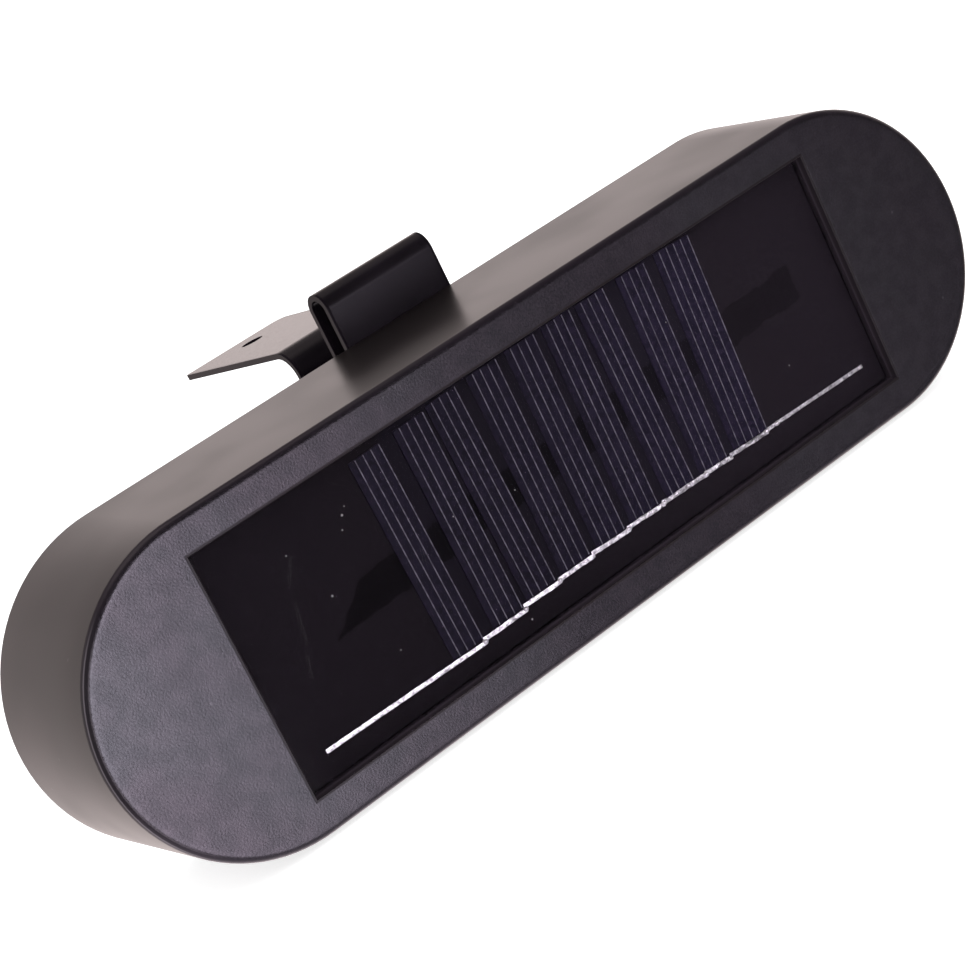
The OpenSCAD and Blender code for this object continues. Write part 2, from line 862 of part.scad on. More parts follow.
module battery_leads() {
    start = [holder_end_x, battery_y, holder_z];
    stop = [socket_x, socket_front_y, socket_zs[1]];
    color("#b02a2a")
    lead_pair(start, [battery_lead_reach, 0, 0], stop, [0, -socket_reaches[1], 0],
        [0, 0, lead_aside]);
}

module lamp_leads() {
    start = [socket_x, lamp_y, lamp_board_z + board_t];
    stop = [socket_x, socket_front_y, socket_zs[2]];
    color("#b02a2a")
    lead_pair(start, [0, 0, lamp_lead_reach], stop, [0, -socket_reaches[2], 0],
        [lead_aside, 0, 0]);
}

module cover_screws() {
    color("#a9a9ad")
    for (boss = case_bosses)
        translate([boss.x, back_y - head_h, axis_z + boss.y])
            rotate([-90, 0, 0])
                screw(case_screw_d, case_screw_len + cover_t - head_h, case_head_r);
}

// Part of a ring between two angles, which may be up to half a turn apart
module ring_part(inner, thickness, from, to) {
    outer = inner + thickness;
    reach = 2 * outer;
    middle = (from + to) / 2;
    intersection() {
        difference() {
            circle(outer);
            circle(inner);
        }
        polygon([
            [0, 0],
            reach * [cos(from), sin(from)],
            reach * [cos((from + middle) / 2), sin((from + middle) / 2)],
            reach * [cos(middle), sin(middle)],
            reach * [cos((to + middle) / 2), sin((to + middle) / 2)],
            reach * [cos(to), sin(to)]
        ]);
    }
}

// The strip's profile, with x backwards and y upwards
module strip_profile() {
    leg_y = slot_gap / 2;
    floor_y0 = leg_y + strip_t + trough_r;
    floor_y1 = wall_y - trough_r;
    translate([-leg_y - strip_t, leg_z])
        square([strip_t, hook_z - leg_z]);
    translate([0, hook_z])
        ring_part(leg_y, strip_t, 0, 180);
    translate([leg_y, trough_bend_z])
        square([strip_t, hook_z - trough_bend_z]);
    translate([floor_y0, trough_bend_z])
        ring_part(trough_r, strip_t, 180, 270);
    translate([floor_y0, trough_z])
        square([floor_y1 - floor_y0, strip_t]);
    translate([floor_y1, trough_bend_z])
        ring_part(trough_r, strip_t, 270, 360);
    translate([wall_y, trough_bend_z])
        square([strip_t, fold_z - trough_bend_z]);
    translate([fold_y, fold_z])
        ring_part(fold_r, strip_t, 90 - flange_tilt, 180);
}

// The flange seen from above, with y towards its tip
module flange_plan() {
    difference() {
        translate([-strip_w / 2, 0])
            square([strip_w, flange_len]);
        translate([strip_w / 2 - corner_r, flange_len - corner_r])
            difference() {
                square(corner_r + cut);
                circle(corner_r);
            }
        translate([-strip_w / 2 + small_corner_r, flange_len - small_corner_r])
            difference() {
                translate([-small_corner_r - cut, 0])
                    square(small_corner_r + cut);
                circle(small_corner_r);
            }
    }
}

module bracket_strip() {
    color("#2b2829")
    difference() {
        union() {
            rotate([90, 0, 90])
                linear_extrude(strip_w, center = true)
                    strip_profile();
            translate([0, fold_y, fold_z])
                rotate([-flange_tilt, 0, 0])
                    translate([0, 0, fold_r])
                        linear_extrude(strip_t)
                            flange_plan();
        }
        translate([0, fold_y, fold_z])
            rotate([-flange_tilt, 0, 0])
                translate([0, flange_len - hole_back, fold_r - cut])
                    cylinder(d = hole_d, h = strip_t + 2 * cut);
        for (side = [0, 1])
            post_y(0, bracket_screw_z + side * bracket_screw_pitch,
                bracket_screw_d / 2 + hole_fit, back_y - cut, back_y + strip_t + cut);
    }
}

module bracket_screws() {
    color("#39373a")
    for (side = [0, 1])
        translate([0, back_y + strip_t, bracket_screw_z + side * bracket_screw_pitch])
            rotate([-90, 0, 0])
                screw(bracket_screw_d, bracket_screw_len, bracket_head_r);
}

front_housing();
back_cover();
cover_seal();
panel_cover();
panel_board();
panel_glue();
solar_cells();
cell_lines();
silver_ribbon();
lamp_lens();
lens_seal();
reflector();
lamp_board();
lamp_chips();
chip_phosphor();
lamp_screws();
control_board();
board_chips();
board_coil();
board_capacitor();
board_sockets();
board_screws();
switch_body();
switch_seal();
switch_lever();
switch_knob();
battery_cell();
battery_holder();
holder_pad();
battery_spring();
battery_contacts();
panel_leads();
battery_leads();
lamp_leads();
cover_screws();
bracket_strip();
bracket_screws();
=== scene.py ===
"""Solar gutter light: the visible pieces, their finishes and a plain studio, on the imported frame."""
import json
import math

import bmesh
import bpy
from bpy.props import FloatProperty, FloatVectorProperty, IntProperty, PointerProperty
from bpy.types import Operator, Panel, PropertyGroup
from mathutils import Matrix, Vector, noise


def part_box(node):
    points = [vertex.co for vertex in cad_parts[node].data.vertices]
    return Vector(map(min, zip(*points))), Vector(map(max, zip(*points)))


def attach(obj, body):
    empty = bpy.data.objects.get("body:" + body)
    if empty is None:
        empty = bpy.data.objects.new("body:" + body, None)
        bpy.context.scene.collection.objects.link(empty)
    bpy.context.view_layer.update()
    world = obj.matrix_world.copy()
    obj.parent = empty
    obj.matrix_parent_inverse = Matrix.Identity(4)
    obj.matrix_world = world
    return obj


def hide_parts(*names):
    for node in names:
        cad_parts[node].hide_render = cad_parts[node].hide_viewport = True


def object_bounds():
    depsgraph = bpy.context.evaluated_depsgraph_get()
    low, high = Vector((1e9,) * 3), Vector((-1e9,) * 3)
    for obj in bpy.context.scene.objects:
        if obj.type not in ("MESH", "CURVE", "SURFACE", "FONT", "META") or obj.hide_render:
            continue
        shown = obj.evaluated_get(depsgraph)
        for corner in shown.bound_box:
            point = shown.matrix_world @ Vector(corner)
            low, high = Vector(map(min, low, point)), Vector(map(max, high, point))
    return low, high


bl_info = {
    "name": "Solar Gutter Light",
    "version": (1, 0, 0),
    "blender": (4, 5, 0),
    "location": "3D View > Sidebar > Gutter Light",
    "description": "Adds the visible pieces and finishes of a solar light that hooks on a gutter",
    "category": "Add Mesh",
}

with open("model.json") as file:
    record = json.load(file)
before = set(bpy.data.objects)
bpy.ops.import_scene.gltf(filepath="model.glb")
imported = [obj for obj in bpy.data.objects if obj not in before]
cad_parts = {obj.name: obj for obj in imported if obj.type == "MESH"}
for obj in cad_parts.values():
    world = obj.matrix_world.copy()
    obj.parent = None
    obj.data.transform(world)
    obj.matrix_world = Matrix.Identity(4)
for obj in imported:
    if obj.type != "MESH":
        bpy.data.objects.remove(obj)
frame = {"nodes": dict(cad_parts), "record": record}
CAD_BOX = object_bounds()
MM = 0.001
NODES = frame["nodes"]

# Points nearer than this, in metres, are one point
NEAR = 1e-6

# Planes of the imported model, in metres
FRONT_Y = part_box("front_housing")[0].y
BACK_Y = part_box("back_cover")[1].y
COVER_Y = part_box("cover_seal")[1].y
SEAT_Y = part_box("cover_seal")[0].y
PANEL_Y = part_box("panel_cover")[0].y
BOARD_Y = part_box("panel_board")[0].y
POCKET_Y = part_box("panel_glue")[1].y
TRAY_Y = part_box("holder_pad")[0].y
AXIS_Z = (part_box("panel_board")[0].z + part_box("panel_board")[1].z) / 2
BACK_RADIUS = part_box("front_housing")[1].z - AXIS_Z
END_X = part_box("front_housing")[1].x - BACK_RADIUS
FLOOR_Z = CAD_BOX[0].z

FRONT_WALL = 2.2 * MM
HOLLOW_Y = FRONT_Y + FRONT_WALL

# The lamp in the underside
LAMP_Y = (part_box("lamp_lens")[0].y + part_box("lamp_lens")[1].y) / 2
LAMP_BOARD_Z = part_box("lamp_board")[0].z
LAMP_POST_X = 65 * MM
LENS_SEAT_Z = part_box("lens_seal")[0].z
LENS_RIM_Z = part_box("lens_seal")[1].z
COLLAR_Z = LENS_SEAT_Z - 2.2 * MM
LENS_CENTRE_X = 46.5 * MM
LENS_FLANGE_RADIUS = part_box("lamp_lens")[1].y - LAMP_Y
LENS_RADIUS = 8.5 * MM
LENS_STEPS = 24

# Screws: the case's at its corners and above the panel, the bracket's below its hook
HEAD_HEIGHT = 1.6 * MM
CASE_HEAD_RADIUS = 2.7 * MM
BRACKET_HEAD_RADIUS = 3.2 * MM
BOSS_RADIUS = 3.2 * MM
BOARD_PILOT = 1.05 * MM
CORNER_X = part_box("cover_screws")[1].x - CASE_HEAD_RADIUS
TOP_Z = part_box("cover_screws")[1].z - CASE_HEAD_RADIUS
CORNER_RISE = TOP_Z - 0.9 * MM - AXIS_Z
CASE_SCREWS = [(x * CORNER_X, AXIS_Z + z * CORNER_RISE) for x in (-1, 1) for z in (-1, 1)]
CASE_SCREWS += [(x * 40 * MM, TOP_Z) for x in (-1, 1)]
BRACKET_SCREWS = [(0, -52 * MM), (0, -41 * MM)]
SWITCH_MIDDLE = ((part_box("switch_body")[0].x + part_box("switch_body")[1].x) / 2,
                 (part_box("switch_body")[0].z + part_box("switch_body")[1].z) / 2)

# Lumps of solder on the ribbon, in millimetres: place and size
BLOBS = [(-66.0, -59.55, 0.3), (-30.3, -60.2, 0.55), (-20.3, -59.7, 0.5), (-11.6, -59.1, 0.5),
         (5.8, -58.8, 0.5), (14.8, -58.7, 0.5), (25.8, -58.9, 0.55), (42.0, -58.9, 0.55),
         (44.8, -58.9, 0.5), (62.4, -59.35, 0.35), (64.6, -59.4, 0.3), (67.6, -59.5, 0.34)]

# Ribbon tabs, in millimetres: start and end in X, start and end height, and width
TABS = [(-66.3, -30.1, -59.55, -60.40, 0.78), (-30.5, -20.1, -59.78, -59.90, 0.80),
        (-20.5, -11.4, -59.11, -59.26, 0.80), (-11.8, -3.0, -58.87, -59.02, 0.80),
        (-3.4, 6.0, -58.58, -58.96, 0.80), (5.6, 15.0, -58.49, -58.85, 0.80),
        (14.6, 26.0, -58.54, -58.92, 0.86), (25.6, 32.7, -58.70, -59.12, 0.80),
        (32.3, 42.1, -58.70, -59.16, 0.80), (41.7, 68.3, -58.78, -59.50, 0.70)]

# Marks on the panel's clear cover, in millimetres: specks of dust with their radii, and faint scratches
SPECKS = [(-20.7, -61.5, 0.22), (-44.3, -26.3, 0.28), (-45.5, -28.5, 0.17), (-43.2, -25.2, 0.14),
          (-52.7, -37.1, 0.24), (-56.8, -26.8, 0.16), (-46.0, -52.0, 0.15), (-12.4, -40.0, 0.17),
          (-25.6, -37.6, 0.17), (9.5, -49.0, 0.15), (31.0, -30.0, 0.15), (52.0, -50.5, 0.17)]
SCRATCHES = [((-59.2, -34.5), (-60.7, -41.8)), ((-61.4, -42.5), (-62.8, -47.2)),
             ((-33.6, -38.9), (-34.3, -41.8)), ((-55.8, -27.2), (-58.6, -31.5))]

# The camera: its place, the directions of the picture's right and top, and its focal length
CAMERA_PLACE = (-0.2215, -0.4195, 0.0835)
CAMERA_RIGHT = Vector((0.7356, -0.5258, -0.4272))
CAMERA_UP = Vector((0.5032, 0.0019, 0.8642))
CAMERA_LENS = 95.89


class CaseSettings(PropertyGroup):
    end_x: FloatProperty(name="Round ends",
                         description="Distance from the middle to each round end's centre",
                         default=END_X, unit="LENGTH")
    front_radius: FloatProperty(name="Front radius", description="Radius of the round ends at the front",
                                default=BACK_RADIUS - 0.55 * MM, unit="LENGTH")
    back_radius: FloatProperty(name="Back radius", description="Radius of the round ends at the back",
                               default=BACK_RADIUS, unit="LENGTH")
    edge_radius: FloatProperty(name="Front edge", description="Radius of the front edge",
                               default=1.4 * MM, unit="LENGTH")
    wall: FloatProperty(name="Wall", description="Thickness of the case's walls",
                        default=2.4 * MM, unit="LENGTH")
    window: FloatVectorProperty(name="Panel opening", description="Length and height of the opening",
                                size=2, default=(145.6 * MM, 47.2 * MM), unit="LENGTH")
    face_colour: FloatVectorProperty(name="Face colour", description="Colour of the grained front face",
                                     size=4, subtype="COLOR", default=(0.0080, 0.0062, 0.0090, 1))
    side_colour: FloatVectorProperty(name="Side colour", description="Colour of the smoother sides",
                                     size=4, subtype="COLOR", default=(0.0120, 0.0088, 0.0090, 1))


class BracketSettings(PropertyGroup):
    width: FloatProperty(name="Width", description="Width of the steel strip",
                         default=25.4 * MM, unit="LENGTH")
    thickness: FloatProperty(name="Thickness", description="Thickness of the steel strip",
                             default=1.2 * MM, unit="LENGTH")
    flange_length: FloatProperty(name="Flange", description="Length of the flat of the flange",
                                 default=43.4 * MM, unit="LENGTH")
    hole_back: FloatProperty(name="Hole place", description="Distance from the flange's tip to its hole",
                             default=9.4 * MM, unit="LENGTH")
    hole_diameter: FloatProperty(name="Hole", description="Diameter of the flange's screw hole",
                                 default=4.8 * MM, unit="LENGTH")
    colour: FloatVectorProperty(name="Coating", description="Colour of the black coating",
                                size=4, subtype="COLOR", default=(0.0088, 0.0061, 0.0095, 1))


class StudioSettings(PropertyGroup):
    soft_light: FloatProperty(name="Soft light", description="Level of the light from all round",
                              default=1.0, min=0)
    backdrop: FloatProperty(name="Backdrop", description="Level of the backdrop in reflections",
                            default=1.35, min=0)
    front_light: FloatProperty(name="Front light", description="Level of the front light in reflections",
                               default=8.5, min=0)
    arc_steps: IntProperty(name="Arc steps", description="Steps of each half turn", default=48, min=12)


# Node building


def plug(tree, node, inputs):
    """Feeds a node's inputs, each with a value or with another node's output."""
    for key, value in inputs.items():
        if isinstance(value, bpy.types.NodeSocket):
            tree.links.new(value, node.inputs[key])
        else:
            node.inputs[key].default_value = value


def add(tree, kind, inputs=None, **settings):
    """Adds a node with its settings and inputs."""
    node = tree.nodes.new(kind)
    for key, value in settings.items():
        setattr(node, key, value)
    plug(tree, node, inputs or {})
    return node


def maths(tree, operation, a, b=0.0, clamp=False):
    return add(tree, "ShaderNodeMath", {0: a, 1: b}, operation=operation, use_clamp=clamp).outputs[0]


def product(tree, *factors):
    """Multiplies masks and levels."""
    result = factors[0]
    for factor in factors[1:]:
        result = maths(tree, "MULTIPLY", result, factor)
    return result


def without(tree, mask):
    """The rest of a mask."""
    return maths(tree, "SUBTRACT", 1.0, mask)


def between(tree, value, low, high, to_low=0.0, to_high=1.0):
    """Maps a value smoothly from one range to another, held at its ends."""
    return add(tree, "ShaderNodeMapRange",
               {"Value": value, "From Min": low, "From Max": high, "To Min": to_low, "To Max": to_high},
               interpolation_type="SMOOTHSTEP").outputs["Result"]


def level(tree, mask, clear, masked):
    """A value that a mask takes from one level to another."""
    return between(tree, mask, 0, 1, clear, masked)


def band(tree, value, low, high, soft):
    """A mask that is 1 between two values of a coordinate."""
    return product(tree, between(tree, value, low - soft, low + soft),
                   between(tree, value, high + soft, high - soft))


def opaque(colour):
    """A colour with full alpha; a node's output stays as it is."""
    return colour if isinstance(colour, bpy.types.NodeSocket) else (*colour[:3], 1)


def mixed(tree, factor, a, b, blend="MIX"):
    """Mixes two colours."""
    return add(tree, "ShaderNodeMix", {0: factor, 6: opaque(a), 7: opaque(b)}, data_type="RGBA",
               blend_type=blend).outputs[2]


def layered(tree, base, *layers):
    """Lays colours over a base, each through its mask."""
    for mask, colour in layers:
        base = mixed(tree, mask, base, colour)
    return base


def blended(tree, factor, a, b):
    """Mixes two values."""
    return add(tree, "ShaderNodeMix", {0: factor, 2: a, 3: b}, data_type="FLOAT").outputs[0]


def scaled(tree, colour, level):
    return add(tree, "ShaderNodeVectorMath", {0: colour, 3: level}, operation="SCALE").outputs[0]


def along(tree, place, way):
    """How far a place lies along a way."""
    return add(tree, "ShaderNodeVectorMath", {0: place, 1: tuple(way)},
               operation="DOT_PRODUCT").outputs["Value"]


def axes_of(tree, where):
    return add(tree, "ShaderNodeSeparateXYZ", {0: where}).outputs


def clouds(tree, where, scale, detail=3.0, roughness=0.5):
    """Noise from 0 to 1."""
    return add(tree, "ShaderNodeTexNoise", {"Vector": where, "Scale": scale, "Detail": detail,
                                            "Roughness": roughness}).outputs["Fac"]


def crystals(tree, where, scale):
    """Random tints, one for each cell of a Voronoi pattern, and the distance from the cell's middle."""
    cells = add(tree, "ShaderNodeTexVoronoi", {"Vector": where, "Scale": scale}).outputs
    return add(tree, "ShaderNodeSeparateColor", {0: cells["Color"]}).outputs, cells["Distance"]


def group(name, defaults, outputs, build):
    """Makes a node group with a vector and values as inputs; build gives its outputs by name."""
    made = bpy.data.node_groups.new(name, "ShaderNodeTree")
    made.interface.new_socket("Vector", in_out="INPUT", socket_type="NodeSocketVector")
    for label, value in defaults.items():
        socket = made.interface.new_socket(label, in_out="INPUT", socket_type="NodeSocketFloat")
        socket.default_value = value
    for label in outputs:
        made.interface.new_socket(label, in_out="OUTPUT", socket_type="NodeSocketFloat")
    start, end = made.nodes.new("NodeGroupInput"), made.nodes.new("NodeGroupOutput")
    plug(made, end, build(made, start.outputs))
    return made


def grouped(tree, name, where, values, defaults, outputs, build):
    """Places a node group in a material with its own values; the group is made once."""
    made = bpy.data.node_groups.get(name) or group(name, defaults, outputs, build)
    return add(tree, "ShaderNodeGroup", {"Vector": where, **values}, node_tree=made).outputs


def moulded_grain(tree, where, scale):
    """Fine pits and pebbles, as a spark-eroded mould leaves them."""
    def build(tree, given):
        pebbles = add(tree, "ShaderNodeTexVoronoi", {"Vector": given["Vector"], "Scale": given["Scale"]},
                      feature="SMOOTH_F1").outputs["Distance"]
        fine = clouds(tree, given["Vector"], product(tree, given["Scale"], 0.9), roughness=0.6)
        height = maths(tree, "ADD", product(tree, pebbles, 0.7), product(tree, fine, 0.6))
        return {"Height": height, "Shade": between(tree, height, 0.35, 0.85)}
    return grouped(tree, "Moulded Grain", where, {"Scale": scale},
                   {"Scale": 2500.0}, ["Height", "Shade"], build)


def colour_drift(tree, where, scale):
    """Slow, cloudy changes over a surface."""
    def build(tree, given):
        cloud = clouds(tree, given["Vector"], given["Scale"], detail=2.0)
        return {"Factor": between(tree, cloud, 0.3, 0.7)}
    return grouped(tree, "Colour Drift", where, {"Scale": scale},
                   {"Scale": 30.0}, ["Factor"], build)["Factor"]


def dust_specks(tree, where, scale, size, share):
    """A few small specks, one in some of the cells of a Voronoi pattern."""
    def build(tree, given):
        tints, distance = crystals(tree, given["Vector"], given["Scale"])
        near = between(tree, distance, given["Size"], 0.0)
        some = maths(tree, "LESS_THAN", tints[0], given["Share"])
        return {"Mask": product(tree, near, some)}
    return grouped(tree, "Dust Specks", where, {"Scale": scale, "Size": size, "Share": share},
                   {"Scale": 400.0, "Size": 0.2, "Share": 0.15}, ["Mask"], build)["Mask"]


def new_finish(name):
    """A material with its object coordinates and its Principled shader."""
    material = bpy.data.materials.new(name)
    material.use_nodes = True
    tree = material.node_tree
    tree.nodes.clear()
    shader = add(tree, "ShaderNodeBsdfPrincipled")
    add(tree, "ShaderNodeOutputMaterial", {"Surface": shader.outputs["BSDF"]})
    where = add(tree, "ShaderNodeTexCoord").outputs["Object"]
    return material, tree, shader, where


def bumped(tree, height, distance, strength=1.0):
    """The normal of a bumpy surface."""
    return add(tree, "ShaderNodeBump", {"Height": height, "Distance": distance,
                                        "Strength": strength}).outputs["Normal"]


def spot(tree, where, x, z, radius, y=PANEL_Y):
    """A round mark, on the panel's clear cover or at another depth."""
    far = add(tree, "ShaderNodeVectorMath", {0: where, 1: (x * MM, y, z * MM)},
              operation="DISTANCE").outputs["Value"]
    return between(tree, far, radius * MM, 0.6 * radius * MM)


def streak(tree, where, start, end, width):
    """A fine straight scratch on the panel's clear cover."""
    start, end = Vector((start[0], 0, start[1])) * MM, Vector((end[0], 0, end[1])) * MM
    way = (end - start).normalized()
    across = way.cross((0, 1, 0))
    line = start.dot(across)
    return product(tree, band(tree, along(tree, where, across), line - width / 2, line + width / 2,
                              width / 2),
                   band(tree, along(tree, where, way), start.dot(way), end.dot(way), 0.6 * MM))


# Finishes


def moulded(name, colour, roughness, grain=1800.0, depth=0.00002, drift=0.25, metallic=0.0, dust=0.0):
    """A plain moulded, pressed or plated finish with grain, drift and specks."""
    material, tree, shader, where = new_finish(name)
    cloud = colour_drift(tree, where, 60.0)
    pits = moulded_grain(tree, where, grain)
    dark = [c * (1 - drift) for c in colour]
    light = [min(c * (1 + drift), 1) for c in colour]
    base = mixed(tree, cloud, dark, light)
    base = mixed(tree, product(tree, pits["Shade"], 0.3), base, light)
    if dust:
        specks = dust_specks(tree, where, scale=500.0, size=0.25, share=dust)
        base = mixed(tree, specks, base, (0.3, 0.29, 0.27))
    plug(tree, shader, {
        "Base Color": base,
        "Roughness": level(tree, pits["Shade"], roughness * 0.88, min(roughness * 1.12, 1)),
        "Metallic": metallic,
        "IOR": 1.5,
        "Normal": bumped(tree, pits["Height"], depth),
    })
    return material


def opening_mask(tree, axes, window):
    """The panel opening's rim and walls."""
    reach = 0.5 * MM
    length, height = window
    return product(tree,
                   band(tree, axes["X"], -length / 2 - reach, length / 2 + reach, 0.1 * MM),
                   band(tree, axes["Z"], AXIS_Z - height / 2 - reach, AXIS_Z + height / 2 + reach,
                        0.1 * MM))


def painted_edge_highlights(tree, axes):
    """Painted highlights: two thin light lines along the rounded front edge, at the left end only, where
    the light catches it.
    """
    lines = maths(tree, "ADD",
                  band(tree, axes["Y"], FRONT_Y + 0.50 * MM, FRONT_Y + 0.70 * MM, 0.05 * MM),
                  product(tree, 0.6, band(tree, axes["Y"], FRONT_Y + 0.04 * MM, FRONT_Y + 0.13 * MM,
                                          0.03 * MM)), clamp=True)
    return product(tree, lines, between(tree, axes["X"], -90 * MM, -99 * MM))


def case_plastic():
    """Charcoal plastic: pebbled on the front face, smoother and warmer on the sides; with painted light in
    the opening and along the front edge, painted highlights at its left end, and painted shade by weaker
    reflection in places.
    """
    settings = bpy.context.scene.gutter_case
    material, tree, shader, where = new_finish("case_plastic")
    axes = axes_of(tree, where)
    pits = moulded_grain(tree, where, 2900.0)
    cloud = colour_drift(tree, where, 35.0)
    mottle = colour_drift(tree, where, 260.0)
    specks = dust_specks(tree, where, scale=320.0, size=0.14, share=0.10)

    # Where the opening, the grained face and the front edge are
    opening = opening_mask(tree, axes, settings.window)
    outside = without(tree, opening)
    grained = product(tree, between(tree, axes["Y"], FRONT_Y + 0.9 * MM, FRONT_Y + 0.15 * MM), outside)
    # Painted light: the opening's walls next to the face are lightened, and its inner corner by the panel
    # much more, to cancel the shade that falls in the recess
    walls = product(tree, opening, between(tree, axes["Y"], FRONT_Y, FRONT_Y + 0.14 * MM))
    corner = product(tree, opening,
                     between(tree, axes["Y"], PANEL_Y - 0.6 * MM, PANEL_Y - 0.05 * MM))
    # Painted light: the rounded front edge is lightened, standing in for light that it catches
    edge = product(tree, outside,
                   band(tree, axes["Y"], FRONT_Y + 0.12 * MM, FRONT_Y + 1.2 * MM, 0.12 * MM))

    face = mixed(tree, pits["Shade"], [c * 0.6 for c in settings.face_colour],
                 [c * 1.6 for c in settings.face_colour])
    base = layered(tree, mixed(tree, grained, settings.side_colour, face),
                   (walls, (0.034, 0.026, 0.034)),
                   (corner, (0.075, 0.058, 0.076)),
                   (edge, (0.016, 0.011, 0.017)),
                   (painted_edge_highlights(tree, axes), (0.14, 0.12, 0.14)),
                   (product(tree, cloud, 0.2), (0.016, 0.013, 0.015)),
                   (product(tree, specks, 0.4), (0.12, 0.11, 0.12)))

    # Painted shade: the face's reflection is weakened round the middle of its length, beside its random
    # mottle, and the sides' reflection towards their front and in the opening
    middle = band(tree, axes["X"], -20 * MM, 35 * MM, 30 * MM)
    face_gloss_and_shade = product(tree, level(tree, mottle, 0.54, 0.46), level(tree, middle, 1.0, 0.7))
    side_gloss_and_shade = product(tree, between(tree, axes["Y"], FRONT_Y + 1 * MM, FRONT_Y + 13 * MM, 0.36, 0.5),
                         level(tree, opening, 1.0, 0.6))
    patches = maths(tree, "ADD", product(tree, mottle, 0.3), product(tree, cloud, 0.7))
    height = product(tree, pits["Height"], level(tree, grained, 0.15, 1.0))
    plug(tree, shader, {
        "Base Color": base,
        "Roughness": blended(tree, grained, level(tree, cloud, 0.29, 0.34),
                             level(tree, pits["Shade"], 0.28, 0.34)),
        "Specular IOR Level": blended(tree, grained, side_gloss_and_shade, face_gloss_and_shade),
        "Specular Tint": mixed(tree, patches, (1.0, 0.93, 0.99), (0.93, 0.98, 1.0)),
        "IOR": 1.5,
        "Normal": bumped(tree, height, 0.00002),
    })
    return material


def coated_steel():
    """Smooth black satin coating, with slow changes of tone, and painted shade on the cut edges, which
    reflect less.
    """
    settings = bpy.context.scene.gutter_bracket
    material, tree, shader, where = new_finish("coated_steel")
    pits = moulded_grain(tree, where, 1500.0)
    cloud = colour_drift(tree, where, 70.0)
    # Painted shade: the cut edges reflect much less, so that they stay dark
    off_middle = maths(tree, "ABSOLUTE", axes_of(tree, where)["X"])
    cut = between(tree, off_middle, settings.width / 2 - 0.58 * MM, settings.width / 2 - 0.46 * MM)
    plug(tree, shader, {
        "Base Color": mixed(tree, cloud, [c * 0.8 for c in settings.colour],
                            [c * 1.25 for c in settings.colour]),
        "Roughness": level(tree, pits["Shade"], 0.24, 0.26),
        "Specular IOR Level": level(tree, cut, 0.5, 0.09),
        "IOR": 1.45,
        "Normal": bumped(tree, pits["Height"], 0.000004, 0.3),
    })
    return material


def panel_resin():
    """Clear resin over the cells, with specks of dust and faint scratches."""
    material, tree, shader, where = new_finish("panel_resin")
    ripple = colour_drift(tree, where, 120.0)
    dust = dust_specks(tree, where, scale=210.0, size=0.07, share=0.10)
    marks = product(tree, dust, 0.5)
    for speck in SPECKS:
        marks = maths(tree, "MAXIMUM", marks, spot(tree, where, *speck))
    for start, end in SCRATCHES:
        faint = product(tree, streak(tree, where, start, end, 0.12 * MM), 0.28)
        marks = maths(tree, "MAXIMUM", marks, faint)
    plug(tree, shader, {
        "Base Color": mixed(tree, marks, (0.004, 0.003, 0.0045), (0.5, 0.48, 0.5)),
        "Alpha": level(tree, marks, 0.14, 0.8),
        "Roughness": level(tree, ripple, 0.04, 0.06),
        "IOR": 1.5,
    })
    return material


def to_right(tree, x, left, right):
    """A level that changes from one end of the panel's cells to the other."""
    return between(tree, x, -20 * MM, 45 * MM, left, right)


def panel_black():
    """Black backing board, with the darker tape behind the cells and at its ends."""
    material, tree, shader, where = new_finish("panel_black")
    axes = axes_of(tree, where)
    pits = moulded_grain(tree, where, 1800.0)

    # The tape rises slightly to the right, its left end is slanted, and its edges are ragged
    ragged = maths(tree, "SUBTRACT", clouds(tree, where, 300.0), 0.5)
    shift = product(tree, ragged, 2.5 * MM)
    rising = maths(tree, "SUBTRACT", axes["Z"], product(tree, axes["X"], 0.0295))
    slanted = maths(tree, "SUBTRACT", axes["X"], product(tree, axes["Z"], 1.23))
    height, left, right = (maths(tree, "ADD", place, shift) for place in (rising, slanted, axes["X"]))
    tape = product(tree, band(tree, height, -42.9 * MM, -36.1 * MM, 0.15 * MM),
                   between(tree, left, -0.2 * MM, 0.2 * MM),
                   between(tree, right, 61.7 * MM, 61.3 * MM),
                   to_right(tree, axes["X"], 0.8, 0.4))

    base = mixed(tree, pits["Shade"], (0.0175, 0.0132, 0.0185), (0.0205, 0.0158, 0.0220))
    base = scaled(tree, base, to_right(tree, axes["X"], 1.0, 1.6))
    behind_cells = product(tree, band(tree, axes["X"], -32 * MM, 35 * MM, 1.5 * MM),
                           between(tree, axes["Z"], -60 * MM, -58 * MM))
    base = mixed(tree, behind_cells, base, (0.90, 0.93, 1.08), blend="MULTIPLY")
    plug(tree, shader, {
        "Base Color": mixed(tree, tape, base, (0.003, 0.0025, 0.0035)),
        "Roughness": 0.6,
        "Specular IOR Level": 0.03,
    })
    return material


def silicon():
    """Blue-violet silicon with a fine crystal speckle."""
    material, tree, shader, where = new_finish("silicon")
    tints, _ = crystals(tree, where, 1300.0)
    cloud = colour_drift(tree, where, 90.0)
    base = mixed(tree, tints[0], (0.0125, 0.0095, 0.0225), (0.031, 0.0225, 0.052))
    base = mixed(tree, product(tree, cloud, 0.4), base, (0.021, 0.015, 0.038))
    plug(tree, shader, {
        "Base Color": scaled(tree, base, to_right(tree, axes_of(tree, where)["X"], 0.66, 1.2)),
        "Roughness": level(tree, tints[1], 0.35, 0.6),
        "Specular IOR Level": 0.1,
    })
    return material


def silver_print():
    """Thin printed lines, broken and uneven."""
    material, tree, shader, where = new_finish("silver_print")
    broken = between(tree, clouds(tree, where, 900.0), 0.35, 0.65)
    plug(tree, shader, {
        "Base Color": mixed(tree, broken, (0.10, 0.09, 0.13), (0.32, 0.295, 0.385)),
        "Roughness": 0.5,
    })
    return material


